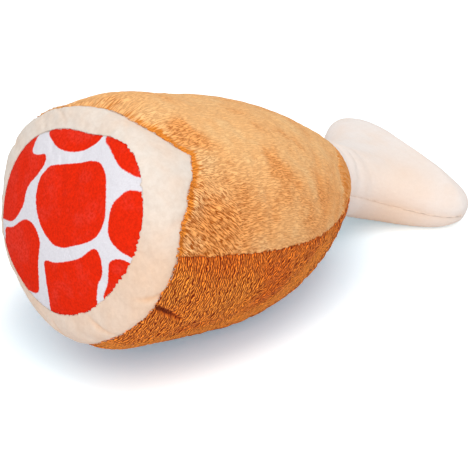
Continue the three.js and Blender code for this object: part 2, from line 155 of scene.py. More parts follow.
# Floor: half size, height, what the background's rays see, and how much it glows by the toy and further out. The
# glow is painted light, and bluish near the toy, where it paints the shadow's tint. The shadow's oval has its centre
# on the floor, its width over its length, and the shares where it starts and ends
FLOOR_HALF = 3.0
FLOOR_HEIGHT = -0.0002
FLOOR_SEEN = (0.975, 1, 1)
GLOW_NEAR, GLOW_FAR = (0.074, 0.20, 0.268), (0.46, 0.5, 0.5)
SHADOW_CENTRE = (-0.028, 0.018)
SHADOW_OVAL = 1.35
SHADOW_EDGE = (0.45, 0.74)

# Lamps: how far to the camera's right, back towards it and above the target each stands, and its width
TOP_LAMP = (0.12, 0.1, 0.85, 0.6)
FRONT_LAMP = (-0.1, 0.75, 0.5, 0.8)
WORLD_TINT = (0.96, 0.97, 1.0)

# Camera: its sensor in millimetres, and its focal length and the photograph's width in pixels
SENSOR_WIDTH = 36.0
FOCAL_LENGTH, PHOTO_WIDTH = 1581, 470

# The body puffs up behind the ring's seam: middle angle and spread in degrees, height, rise and reach behind the seam
PUFFS = ((89, 26, 0.0090, 0.008, 0.046), (-65, 25, 0.0035, 0.006, 0.030))

# The angle past which the bladder's rims are sharp
SHARP_RIM = math.radians(35)

# The ring's seam is pulled back in sharp kinks: middle angle and reach in degrees, depth
RING_KINKS = ((51.5, 4.5, 0.0058), (28, 5.0, 0.0020))

# Shallow gathers towards the mouth: place along the ham, middle angle in degrees, slant for each degree, depth, half
# width, and spread in degrees
GATHERS = ((0.130, 48, 0.0006, 0.0010, 0.005, 24), (0.134, 125, -0.0003, 0.0012, 0.005, 22),
           (0.150, -60, 0.0002, 0.0012, 0.005, 30))

# Outlines of the print's red cells, as shares of the disc's edge: across towards the camera's side, and up
CELL_SHARES = {
    "middle": ((-0.32, 0.52), (0.0, 0.68), (0.26, 0.68), (0.42, 0.48), (0.54, 0.27), (0.54, 0.08), (0.43, -0.06),
               (0.2, -0.21), (-0.03, -0.23), (-0.22, -0.12), (-0.37, 0.05), (-0.43, 0.25), (-0.41, 0.4)),
    "top": ((-0.62, 0.8), (-0.47, 0.72), (-0.3, 0.71), (-0.11, 0.77), (0.04, 0.84), (0.15, 0.93), (0.14, 1.1),
            (-0.25, 1.2), (-0.65, 1.05)),
    "top_right": ((0.21, 0.97), (0.3, 0.84), (0.44, 0.71), (0.58, 0.685), (0.75, 0.71), (0.9, 0.8), (0.7, 1.1),
                  (0.35, 1.2)),
    "right": ((0.6, 0.5), (0.66, 0.57), (0.82, 0.61), (1.2, 0.62), (1.3, 0.2), (1.15, -0.04), (0.99, -0.01),
              (0.84, 0.02), (0.68, 0.11), (0.6, 0.24), (0.56, 0.4)),
    "low_right": ((0.8, -0.3), (0.78, -0.15), (0.86, -0.07), (1.0, -0.08), (1.2, -0.2), (1.05, -0.7),
                  (0.77, -0.66), (0.8, -0.45)),
    "bottom": ((-0.11, -0.45), (0.05, -0.41), (0.2, -0.365), (0.42, -0.26), (0.56, -0.07), (0.66, -0.13),
               (0.73, -0.31), (0.69, -0.5), (0.67, -0.68), (0.66, -1.0), (0.25, -1.2), (-0.02, -1.1), (-0.03, -0.85),
               (-0.07, -0.65)),
    "low_left": ((-0.84, -0.48), (-0.82, -0.36), (-0.67, -0.29), (-0.5, -0.15), (-0.34, -0.14), (-0.22, -0.26),
                 (-0.21, -0.5), (-0.19, -0.78), (-0.26, -0.87), (-0.4, -0.9), (-0.6, -0.95), (-0.95, -0.8),
                 (-0.98, -0.6)),
    "top_left": ((-0.72, 0.53), (-0.61, 0.5), (-0.5, 0.56), (-0.45, 0.48), (-0.48, 0.34), (-0.57, 0.15),
                 (-0.57, -0.03), (-0.65, -0.2), (-0.8, -0.28), (-1.15, -0.3), (-1.3, 0.1), (-1.1, 0.8),
                 (-0.78, 0.95)),
}


def srgb(red, green, blue):
    """The linear colour of an 8-bit sRGB one."""
    values = (red / 255, green / 255, blue / 255)
    return tuple(v / 12.92 if v <= 0.04045 else ((v + 0.055) / 1.055) ** 2.4 for v in values)


def number_prop(name, description, default, **more):
    return bpy.props.FloatProperty(name=name, description=description, default=default, **more)


def length_prop(name, description, default):
    return number_prop(name, description, default, subtype="DISTANCE", unit="LENGTH", precision=5)


def angle_prop(name, description, degrees):
    return number_prop(name, description, math.radians(degrees), subtype="ANGLE", unit="ROTATION")


def share_prop(name, description, default):
    return number_prop(name, description, default, subtype="FACTOR")


def colour_prop(name, description, default):
    return bpy.props.FloatVectorProperty(name=name, description=description, default=default, subtype="COLOR", size=3,
                                         min=0, max=1)


class HamSizes(bpy.types.PropertyGroup):
    """Sizes of the stuffed ham."""

    length: length_prop("Length", "From the cut face to the bone's mouth, along the spine", 0.183)
    fullest_radius: length_prop("Fullest radius", "Half height of the fullest section", 0.062)
    face_radius: length_prop("Face radius", "Half height where the swell meets the cut face", 0.058)
    mouth_radius: length_prop("Mouth radius", "Half height where the bone comes out", 0.026)
    fullest_share: share_prop("Fullest at", "Share of the length at which the ham is fullest", 0.4)
    width_share: number_prop("Width share", "Width of a section over its height", 1.07)
    face_power: number_prop("Face power", "How the swell eases off to the face", 1.85)
    mouth_power: number_prop("Mouth power", "How it eases off to the mouth", 1.87)
    face_tilt: angle_prop("Tilt at the face", "How far the spine points down at the face", 18)
    mouth_tilt: angle_prop("Tilt at the mouth", "How far the spine points down at the mouth", 6.4)
    sideways_bend: length_prop("Sideways bend", "How far the spine has curved to +Y at the mouth", 0.014)
    disc_radius: length_prop("Disc radius", "Nominal radius of the printed disc", 0.048)
    disc_crown: length_prop("Disc crown", "How far the printed disc swells out", 0.008)
    ring_depth: length_prop("Ring depth", "How far behind the face the ring's outer seam lies", 0.0155)
    seam_angle_face: angle_prop("Seam angle at the face", "Panel seam above the section's side", 6.5)
    seam_angle_mouth: angle_prop("Seam angle at the mouth", "Panel seam above the section's side", -1.8)
    hem_width: length_prop("Hem width", "Turned and sewn edge at the bone's mouth", 0.004)
    bedding_depth: length_prop("Bedding depth", "How far the belly is pressed up by the floor", 0.004)
    bedding_ease: length_prop("Bedding ease", "How softly the pressed patch runs into the round", 0.002)
    flat_cut: length_prop("Flat cut", "Height that is cut flat under the belly and the lobe", 0.0005)
    cover: length_prop("Cover thickness", "Backing and pile of the plush", 0.0023)


class BoneSizes(bpy.types.PropertyGroup):
    """Sizes of the plush bone."""

    ball_radius: length_prop("Root radius", "Ball root inside the ham's mouth", 0.0229)
    ball_end: angle_prop("Root end", "Angle from the back of the ball to where the neck starts", 114)
    lobe_reach: length_prop("Lobe reach", "From the mouth to the lobes' centres", 0.080)
    lobe_radius: length_prop("Lobe radius", "Roundness of each lobe seen from above", 0.016)
    lobe_spread: length_prop("Lobe spread", "Each lobe's centre from the middle", 0.038)
    thickness: length_prop("Thickness", "Height of the pillow between the lobes", 0.037)
    notch_depth: length_prop("Notch depth", "Dip of the end between the lobes", 0.0088)
    notch_width: length_prop("Notch width", "Width of that dip", 0.020)
    roll: angle_prop("Roll", "The camera's side lobe lies lower", 12)
    side_angle: angle_prop("Side angle", "How far the bone points to +Y", 3.2)
    neck_sag: length_prop("Neck sag", "How far the neck's middle hangs", 0.005)
    pillow_power: share_prop("Pillow power", "Under 1 the pillow is fuller than an ellipse", 0.75)
    lobe_bedding: length_prop("Lobe bedding", "How far the lower lobe is pressed up by the floor", 0.003)
    cover: length_prop("Cover thickness", "The bone's shorter plush", 0.0018)


class PlushLook(bpy.types.PropertyGroup):
    """Colours, pile and seams of the plush."""

    red: colour_prop("Print red", "Cells of the printed disc", srgb(241, 44, 13))
    white: colour_prop("Print white", "Veins of the printed disc", srgb(230, 226, 230))
    cream: colour_prop("Ring cream", "Plush ring round the disc", srgb(232, 220, 207))
    # Painted warm shade of the ring, in its creases, low down and round its side by the camera; also its tufts' roots
    # and random warm patches
    cream_shade_and_warmth: colour_prop("Cream crease", "Cream plush down in its creases", srgb(240, 196, 158))
    tan_tip: colour_prop("Tan tips", "Tips of the light tan pile", srgb(255, 195, 128))
    tan_root: colour_prop("Tan roots", "Roots of the light tan pile", srgb(246, 142, 36))
    # Painted shade in the gaps between the clumps, and at its darkest in folds and by seams
    tan_gap_shade: colour_prop("Tan gaps", "Between the clumps of the light tan pile", srgb(174, 86, 14))
    tan_edge: colour_prop("Tan edge", "Light tan pile turned at a seam", srgb(240, 146, 52))
    brown_tip: colour_prop("Brown tips", "Tips of the dark tan pile", srgb(255, 149, 52))
    brown_root: colour_prop("Brown roots", "Roots of the dark tan pile", srgb(236, 94, 8))
    # Painted shade in the gaps between the clumps, and at its darkest in folds and by seams
    brown_gap_shade: colour_prop("Brown gaps", "Between the clumps of the dark tan pile", srgb(122, 34, 0))
    bone: colour_prop("Bone white", "Plush of the bone", srgb(251, 241, 233))
    # Painted warm shade low on the bone and by its seam; also a warm patch on the camera's side and random blush
    # patches
    bone_blush_and_shade: colour_prop("Bone blush", "Warmer tint low on the bone", srgb(252, 222, 196))
    fibre: colour_prop("Fibre", "Polyester filling", srgb(247, 246, 242))
    cell_size: length_prop("Mesh step", "Step of the plush surfaces", 0.0006)
    pile_height: length_prop("Pile height", "How far the tan pile's clumps stand up", 0.0006)
    clump_width: length_prop("Clump width", "Width of a clump of pile", 0.0015)
    clump_length: length_prop("Clump length", "Length of a combed clump", 0.0060)
    slant: angle_prop("Slant", "How far the nap swings down low by the ring", 38)
    deepest: length_prop("Deepest fold", "Folds ease off to this depth", 0.0026)
    seam_depth: length_prop("Seam depth", "How deep the sewn seams pull in", 0.0012)
    seam_width: length_prop("Seam width", "How far from a seam the pull is felt", 0.0016)
    tuft_length: length_prop("Tuft length", "Pile that stands out of a seam", 0.0022)
    tuft_spacing: length_prop("Tuft spacing", "Between tufts along a seam", 0.0005)


class StuffingSettings(bpy.types.PropertyGroup):
    """How the fibre swells the covers."""

    frames: bpy.props.IntProperty(name="Frames", description="Frames of cloth simulation", default=20)
    pressure: number_prop("Pressure", "Push of the filling", 4.0)
    slack_share: share_prop("Slack", "How much larger the cloth is cut than its form", 0.008)
    bending: number_prop("Bending", "Stiffness of the plush against folds", 0.8)
    start_inset: length_prop("Start inset", "How much smaller the form is at the start", 0.0005)
    largest_move: length_prop("Largest move", "No point is moved further than this", 0.0022)
    inward_share: share_prop("Inward share", "How much of an inward move is left", 0.5)


class StageSettings(bpy.types.PropertyGroup):
    """Camera and light."""

    azimuth: angle_prop("Azimuth", "Camera's direction round the toy", -42.5)
    elevation: angle_prop("Elevation", "Camera's height above the horizon", 28)
    distance: length_prop("Distance", "Camera to its target", 0.85)
    focal_share: number_prop("Focal share", "Focal length over the frame's width", FOCAL_LENGTH / PHOTO_WIDTH)
    target_along: length_prop("Target along", "Target from the middle of the cut face", 0.107)
    target_height: length_prop("Target height", "Target above the floor", 0.0354)
    top_power: number_prop("Top light", "Power of the lamp above", 1.68, unit="POWER")
    front_power: number_prop("Front light", "Power of the lamp by the camera", 2.75, unit="POWER")
    world_light: number_prop("World", "Strength of the even light", 0.67)
    floor_colour: colour_prop("Floor", "Plain pale floor", (0.80, 0.81, 0.83))
    shadow_reach: share_prop("Shadow reach", "Where the floor is white, as a share of the toy's half size", 1.5)


def settings():
    return bpy.context.scene.ham_toy


def colours(*names):
    """Colours of the plush by their names in its settings."""
    return [tuple(getattr(settings().look, name)) for name in names]


# Curves and surfaces

def share_at(shares, angle):
    """Catmull-Rom curve through shares at equal angles:
    q + t/2 (r - p + t (2p - 5q + 4r - s + t (3(q - r) + s - p)))."""
    table = np.asarray(shares)
    place = np.mod(angle / (2 * np.pi), 1) * len(table)
    first = np.floor(place).astype(int)
    t = place - first
    p, q, r, s = (table[(first + k) % len(table)] for k in (-1, 0, 1, 2))
    return q + 0.5 * t * (r - p + t * (2 * p - 5 * q + 4 * r - s + t * (3 * (q - r) + s - p)))


def smooth(x):
    """3x^2 - 2x^3, with x held between 0 and 1."""
    x = np.clip(x, 0, 1)
    return x * x * (3 - 2 * x)


def rise(value, start, width):
    """Smooth step from 0 at the start to 1 a width past it."""
    return smooth((value - start) / width)


def fall(value, end, width):
    """Smooth step from 1 a width before the end to 0 at it."""
    return smooth((end - value) / width)


def hump(gap, width):
    """exp(-(gap/width)^2)."""
    return np.exp(-((gap / width) ** 2))


def fading(gap, reach):
    """exp(-gap/reach)."""
    return np.exp(-gap / reach)


def unit(v):
    """Vectors brought to a length of 1."""
    return v / np.maximum(np.linalg.norm(v, axis=-1, keepdims=True), 1e-12)


def spine(s):
    """The ham's centre line at s from the face. Its tilt runs evenly from the face's to the mouth's, so the centre is
    the integral of (cos tilt, -sin tilt), and it bends sideways with the square of its share. Returns centre, along,
    side and up."""
    ham = settings().ham
    rate = (ham.mouth_tilt - ham.face_tilt) / ham.length
    tilt = ham.face_tilt + rate * s
    share = s / ham.length
    centre = np.stack([(np.sin(tilt) - math.sin(ham.face_tilt)) / rate, ham.sideways_bend * share**2,
                       (np.cos(tilt) - math.cos(ham.face_tilt)) / rate], -1)
    along = unit(np.stack([np.cos(tilt), 2 * ham.sideways_bend * share / ham.length, -np.sin(tilt)], -1))
    side = unit(np.cross(along, np.array([0.0, 0.0, 1.0])))
    return centre, along, side, np.cross(side, along)


def ham_radius(s):
    """Fullest radius, less a power of the distance past the fullest place towards the face and towards the mouth."""
    ham = settings().ham
    u = s / ham.length
    full = ham.fullest_radius
    before = np.maximum((ham.fullest_share - u) / ham.fullest_share, 0) ** ham.face_power
    past = np.maximum((u - ham.fullest_share) / (1 - ham.fullest_share), 0) ** ham.mouth_power
    return full - (full - ham.face_radius) * before - (full - ham.mouth_radius) * past


def turn_from(middle, angle):
    """Degrees from a middle angle in degrees, between -180 and 180."""
    return np.mod(np.degrees(angle) - middle + 180, 360) - 180


def ring_seam(angle):
    """How far behind the cut face the ring's outer seam lies: its share of the ring's depth, and at each kink
    depth x exp(-turn/reach)."""
    kinks = sum(depth * fading(np.abs(turn_from(middle, angle)), reach) for middle, reach, depth in RING_KINKS)
    return settings().ham.ring_depth * share_at(RING_SHARES, angle) + kinks


def swollen_radius(s, angle):
    """The ham's radius times its swell share, which fades towards the mouth as (1 - s/length)^0.7, and then puffed up
    behind the ring's seam by height x (1 - exp(-behind/rise)) x exp(-(behind/reach)^2) x exp(-(turn/spread)^2)."""
    ham = settings().ham
    fade = np.maximum(1 - s / ham.length, 0) ** 0.7
    radius = ham_radius(s) * (1 + (share_at(SWELL_SHARES, angle) - 1) * fade)
    behind = np.maximum(s - ring_seam(angle), 0)
    for middle, spread, height, rising, reach in PUFFS:
        swell = hump(behind, reach) * hump(turn_from(middle, angle), spread)
        radius = radius + height * (1 - fading(behind, rising)) * swell
    return radius


def section_point(s, angle, radius):
    """centre + radius (width share cos(angle) side + sin(angle) up)."""
    centre, _, side, up = spine(s)
    wide = (settings().ham.width_share * radius * np.cos(angle))[..., None]
    return centre + wide * side + (radius * np.sin(angle))[..., None] * up


def disc_point(share, angle, depth):
    """On the crowned disc at a share of its edge: s = depth - crown (1 - share^2), radius = share x edge."""
    ham = settings().ham
    edge = ham.disc_radius * share_at(DISC_SHARES, angle)
    return section_point(depth - ham.disc_crown * (1 - share**2), angle, share * edge)


def ring_point(share, angle, depth):
    """On the ring, a quarter turn from the disc's edge, facing forwards, to the body seam, facing out."""
    ham = settings().ham
    turn = share * np.pi / 2
    seam = ring_seam(angle)
    edge = ham.disc_radius * share_at(DISC_SHARES, angle)
    climb = swollen_radius(seam, angle) - depth - edge
    return section_point(seam - (seam - depth) * np.cos(turn), angle, edge + climb * np.sin(turn))


def body_point(share, angle, depth):
    """On the ham's side, from the ring's seam to the hem's edge: section point at the swollen radius less the depth."""
    s = body_place(share, angle)
    return section_point(s, angle, swollen_radius(s, angle) - depth)


def body_place(share, angle):
    """Distance from the face at a share of the way from the ring's seam to the mouth."""
    start = ring_seam(angle)
    return start + (settings().ham.length - start) * share


def floor_lift():
    """How far the ham is lifted so that its lowest line lies just below the floor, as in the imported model, which
    looks for it at so many stations."""
    ham = settings().ham
    s = np.linspace(0, 1, STATIONS) * ham.length
    down = np.full_like(s, -np.pi / 2)
    return -section_point(s, down, swollen_radius(s, down))[:, 2].min() - ham.bedding_depth


def pressed(point, lift, depth):
    """Lifts the point and presses it on the floor: height h becomes (h + hypot(h, ease)) / 2, cut flat at the end."""
    ham = settings().ham
    height = point[..., 2] + lift - depth
    eased = (height + np.hypot(height, ham.bedding_ease)) / 2
    out = point.copy()
    out[..., 2] = depth + np.maximum(eased, ham.flat_cut) - ham.flat_cut
    return out


def bedded(point, depth):
    """A point of the ham as it lies on the floor."""
    return pressed(point, floor_lift(), depth)


def frame_shift():
    """From the form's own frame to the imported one, read from where the neck's hinge is."""
    mouth = spine(np.array(settings().ham.length))[0]
    mouth = bedded(mouth, 0)
    return np.array([NECK["pos_m"][0] - mouth[0], NECK["pos_m"][1] - mouth[1], 0.0])


ZONES = {"disc": disc_point, "ring": ring_point, "body": body_point}


def skin(zone, share, angle, depth):
    """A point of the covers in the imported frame."""
    share, angle = np.broadcast_arrays(np.asarray(share, float), np.asarray(angle, float))
    depth = np.broadcast_to(np.asarray(depth, float), share.shape)
    return bedded(ZONES[zone](share, angle, depth), depth) + frame_shift()


# Noise and pile

def lattice(ix, iy, iz, seed):
    """A repeatable value from 0 to 1 for each whole corner of a lattice, by mixing its bits."""
    mixed = [(v & 0xFFFFFFFF).astype(np.uint32) for v in (ix, iy, iz)]
    h = mixed[0] * np.uint32(374761393) + mixed[1] * np.uint32(668265263) + mixed[2] * np.uint32(2246822519)
    h = h + np.uint32(seed * 7919 + 17)
    for shift in (15, 13, 16):
        h = (h ^ (h >> np.uint32(shift))) * np.uint32(2654435761)
    return (h ^ (h >> np.uint32(15))) / 4294967295.0


def noise(points, spacing, seed=0):
    """Value noise from 0 to 1: corner values blended by 6t^5 - 15t^4 + 10t^3 along each axis."""
    place = points / spacing
    base = np.floor(place)
    t = place - base
    t = t * t * t * (t * (6 * t - 15) + 10)
    cell = base.astype(np.int64)
    total = np.zeros(points.shape[:-1])
    for corner in product((0, 1), repeat=3):
        weight = np.ones(points.shape[:-1])
        for axis, on in enumerate(corner):
            weight = weight * (t[..., axis] if on else 1 - t[..., axis])
        total += weight * lattice(cell[..., 0] + corner[0], cell[..., 1] + corner[1], cell[..., 2] + corner[2], seed)
    return total


def streaks(nap, length, width, seed=0):
    """Pile clumps, from 0 in the gaps between them to 1 on them, where noise stretched along the nap is high."""
    place = np.stack([nap[..., 0] / length, nap[..., 1] / width, np.full(nap.shape[:-1], 0.5)], -1)
    return rise(noise(place, 1.0, seed), 0.3, 0.35)


# Meshes

def grid_quads(rows, columns, wrap):
    """Vertex numbers of the cells of a grid of rows and columns of points."""
    i, j = np.meshgrid(np.arange(rows - 1), np.arange(columns if wrap else columns - 1), indexing="ij")
    after = (j + 1) % columns
    here, below = i * columns, (i + 1) * columns
    return np.stack([here + j, here + after, below + after, below + j], -1).reshape(-1, 4)


def stitched(fine, coarse):
    """Triangles between a fine closed loop of vertices and a coarse one that has one vertex for every few of it."""
    few = len(fine) // len(coarse)
    start = np.repeat(np.arange(len(coarse)), few)
    step = np.arange(len(fine))
    fans = np.stack([coarse[start], fine[step], fine[(step + 1) % len(fine)]], -1)
    ends = (np.arange(len(coarse)) + 1) % len(coarse)
    joins = np.stack([coarse, fine[(ends * few) % len(fine)], coarse[ends]], -1)
    return np.concatenate([fans, joins])


def border(rows, columns):
    """Vertex numbers right round the edge of a grid that doesn't wrap."""
    number = np.arange(rows * columns).reshape(rows, columns)
    return np.concatenate([number[0, :-1], number[:-1, -1], number[-1, :0:-1], number[:0:-1, 0]])


def widest(values, reach):
    """The largest value within so many rows and columns of each place."""
    for axis in (0, 1):
        last = values.shape[axis] - 1
        places = np.arange(last + 1)
        near = [np.take(values, np.clip(places + step, 0, last), axis) for step in range(-reach, reach + 1)]
        values = np.max(near, axis=0)
    return values


def signed_volume(co, triangles):
    a, b, c = (co[triangles[:, k]] for k in range(3))
    return np.einsum("ij,ij->i", a, np.cross(b, c)).sum() / 6


def mesh_object(name, co, quads, triangles, attributes=None):
    """A mesh object at the origin from whole arrays. Its faces are turned to point outwards."""
    quads, triangles = np.asarray(quads, int).reshape(-1, 4), np.asarray(triangles, int).reshape(-1, 3)
    split = np.concatenate([quads[:, [0, 1, 2]], quads[:, [0, 2, 3]], triangles])
    if signed_volume(co, split) < 0:
        quads, triangles = quads[:, ::-1], triangles[:, ::-1]
    mesh = bpy.data.meshes.new(name)
    mesh.vertices.add(len(co))
    mesh.vertices.foreach_set("co", co.astype(np.float32).ravel())
    mesh.loops.add(quads.size + triangles.size)
    mesh.loops.foreach_set("vertex_index", np.concatenate([quads.ravel(), triangles.ravel()]).astype(np.int32))
    mesh.polygons.add(len(quads) + len(triangles))
    starts = np.concatenate([np.arange(len(quads)) * 4, quads.size + np.arange(len(triangles)) * 3])
    mesh.polygons.foreach_set("loop_start", starts.astype(np.int32))
    mesh.update(calc_edges=True)
    mesh.shade_smooth()
    for key, value in (attributes or {}).items():
        vector = value.ndim == 3 and value.shape[-1] == 3
        layer = mesh.attributes.new(key, "FLOAT_VECTOR" if vector else "FLOAT", "POINT")
        full = np.zeros(len(co) * (3 if vector else 1), np.float32)
        full[: value.size] = value.ravel()
        layer.data.foreach_set("vector" if vector else "value", full)
    made = bpy.data.objects.new(name, mesh)
    bpy.context.scene.collection.objects.link(made)
    return made


def closed_cover(name, outer, backing, every, ends, attributes):
    """A closed shell: the fine outer grid, a coarse backing grid that takes one row and column in every few, and
    stitched edges between them. An open grid is stitched along its border, a round one at both its ends, and one
    with a pole has its first row capped and its last row stitched."""
    rows, columns = outer.shape[:2]
    inner = backing[::every, ::every]
    small_rows, small_columns = inner.shape[:2]
    count, small = rows * columns, small_rows * small_columns
    co = [outer.reshape(-1, 3), inner.reshape(-1, 3)]
    wrap = ends != "open"
    back_quads = grid_quads(small_rows, small_columns, wrap)[:, ::-1] + count
    if wrap:
        turn, few = np.arange(columns), np.arange(small_columns)
        triangles = [stitched(turn + count - columns, few + count + small - small_columns)[:, ::-1]]
        if ends == "round":
            triangles.insert(0, stitched(turn, few + count))
        else:
            co.append(np.stack([outer[0].mean(axis=0), inner[0].mean(axis=0)]))
            pole, back_pole = np.full_like(turn, count + small), np.full_like(few, count + small + 1)
            triangles.append(np.stack([pole, (turn + 1) % columns, turn], -1))
            triangles.append(np.stack([back_pole, count + few, count + (few + 1) % small_columns], -1))
            attributes = {key: np.concatenate([value.ravel(), np.zeros(small), [value[0].mean()]])
                          for key, value in attributes.items()}
    else:
        triangles = [stitched(border(rows, columns), border(small_rows, small_columns) + count)]
    return mesh_object(name, np.concatenate(co), np.concatenate([grid_quads(rows, columns, wrap), back_quads]),
                       np.concatenate(triangles), attributes)


def grid_normals(grid, wrap):
    """Unit normals of a grid, across times along by central differences, and the two unit directions."""
    down = np.gradient(grid, axis=0)
    if wrap:
        across = (np.roll(grid, -1, axis=1) - np.roll(grid, 1, axis=1)) / 2
    else:
        across = np.gradient(grid, axis=1)
    down, across = unit(down), unit(across)
    return unit(np.cross(down, across)), down, across


# Stuffing

# The coarse skin: rows of each zone, the last rows of the disc and of the ring, and columns
ZONE_ROWS = {"disc": 9, "ring": 8, "body": 44}
DISC_END = ZONE_ROWS["disc"] - 1
RING_END = DISC_END + ZONE_ROWS["ring"]
SKIN_COLUMNS = 96

# The columns by the two panel seams
SEAM_COLUMNS = [2, SKIN_COLUMNS // 2 - 2]

# The plush as Cloth takes it
CLOTH = {"quality": 6, "mass": 0.05, "tension_stiffness": 12, "compression_stiffness": 12, "shear_stiffness": 4,
         "use_pressure": True, "vertex_group_mass": "sewn"}

# Places of the skin up to this height are held by the floor
HELD_HEIGHT = 0.001

_stuffed = {}


def stuffing_moves():
    """Coarse skin of the whole ham, cut with some slack, sewn fast at its seams and blown up by its filling with
    Cloth. Returns how far each point of its grid moved from the form. The largest moves are capped, and less is
    left of the inward ones."""
    if "moves" in _stuffed:
        return _stuffed["moves"]
    fill = settings().stuffing
    angle = np.arange(SKIN_COLUMNS) * 2 * np.pi / SKIN_COLUMNS
    form = np.stack([skin(zone, np.full_like(angle, share), angle, 0.0)
                     for zone, rows in ZONE_ROWS.items() for share in np.linspace(0, 1, rows + 1)[1:]])
    normal = grid_normals(form, True)[0]
    if np.einsum("ijk,ijk->", normal, form - form.mean(axis=(0, 1))) < 0:
        normal = -normal
    held = np.zeros(form.shape[:2], bool)
    held[[DISC_END, RING_END, -3, -2, -1]] = True
    held[RING_END + 1:, SEAM_COLUMNS] = True
    held[form[..., 2] < HELD_HEIGHT] = True
    held[0] = False
    start = form - normal * (fill.start_inset * ~held)[..., None]
    count = start.shape[0] * SKIN_COLUMNS
    centre = skin("disc", 0.0, 0.0, 0.0)
    co = np.concatenate([start.reshape(-1, 3), centre[None], start[-1].mean(axis=0)[None]])
    turn = np.arange(SKIN_COLUMNS)
    after = (turn + 1) % SKIN_COLUMNS
    last = count - SKIN_COLUMNS
    caps = np.concatenate([np.stack([np.full_like(turn, count), after, turn], -1),
                           np.stack([np.full_like(turn, count + 1), last + turn, last + after], -1)])
    trial = mesh_object("stuffing_trial", co, grid_quads(start.shape[0], SKIN_COLUMNS, True), caps)
    group = trial.vertex_groups.new(name="sewn")
    group.add(np.flatnonzero(held.ravel()).tolist() + [count + 1], 1.0, "REPLACE")
    cloth = trial.modifiers.new("Stuffing", "CLOTH")
    chosen = {"bending_stiffness": fill.bending, "shrink_min": -fill.slack_share,
              "uniform_pressure_force": fill.pressure}
    for key, value in (CLOTH | chosen).items():
        setattr(cloth.settings, key, value)
    cloth.settings.effector_weights.gravity = 0
    cloth.collision_settings.use_collision = False
    cloth.point_cache.frame_start, cloth.point_cache.frame_end = 1, fill.frames
    scene = bpy.context.scene
    for number in range(1, fill.frames + 1):
        scene.frame_set(number)
    blown = trial.evaluated_get(bpy.context.evaluated_depsgraph_get())
    end = np.zeros(len(blown.data.vertices) * 3, np.float32)
    blown.data.vertices.foreach_get("co", end)
    end = end.reshape(-1, 3)[:count].reshape(form.shape).astype(float)
    bpy.data.objects.remove(trial)
    scene.frame_set(1)
    moves = end - form
    outwards = np.einsum("ijk,ijk->ij", moves, normal)[..., None]
    moves = moves - normal * np.minimum(outwards, 0) * (1 - fill.inward_share)
    size = np.linalg.norm(moves, axis=-1, keepdims=True)
    moves *= np.tanh(size / fill.largest_move) * fill.largest_move / np.maximum(size, 1e-9)
    _stuffed["moves"] = moves
    return moves


def sampled(field, row, angle):
    """Bicubic value of a grid field at fractional rows, held at its ends, and at angles, which wrap."""
    def weights(t):
        return ((-t**3 + 2 * t**2 - t) / 2, (3 * t**3 - 5 * t**2 + 2) / 2,
                (-3 * t**3 + 4 * t**2 + t) / 2, (t**3 - t**2) / 2)

    column = np.mod(angle / (2 * np.pi), 1) * field.shape[1]
    first_row, first_column = np.floor(row).astype(int), np.floor(column).astype(int)
    row_weights, column_weights = weights(row - first_row), weights(column - first_column)
    total = np.zeros(row.shape + field.shape[2:])
    for i, by_row in enumerate(row_weights):
        at = np.clip(first_row + i - 1, 0, field.shape[0] - 1)
        for j, by_column in enumerate(column_weights):
            total += (by_row * by_column)[..., None] * field[at, (first_column + j - 1) % field.shape[1]]
    return total


def stuffed(zone, share, angle):
    """How the filling moves a place of the covers. The disc's moves ease off towards its pole."""
    first = {"disc": -1, "ring": DISC_END, "body": RING_END}[zone]
    moves = sampled(stuffing_moves(), first + share * ZONE_ROWS[zone], angle)
    return moves * rise(share, 0, 0.45)[..., None] if zone == "disc" else moves


def groove(place, around, line, depth, width):
    """A fold along a line of (distance from the face, degrees) points: depth x exp(-(gap/width)^2), where the gap is
    to the nearest place of the line, its angle's part times the fullest radius."""
    radius = settings().ham.fullest_radius
    fold = np.zeros_like(place)
    for (s0, a0), (s1, a1) in zip(line[:-1], line[1:]):
        end = np.array([s1 - s0, math.radians(a1 - a0) * radius])
        gap = np.stack([place - s0, np.radians(turn_from(a0, around)) * radius], -1)
        along = np.clip(gap @ end / (end @ end), 0, 1)
        near = np.linalg.norm(gap - along[..., None] * end, axis=-1)
        fold = np.maximum(fold, hump(near, width))
    return depth * fold


# Materials

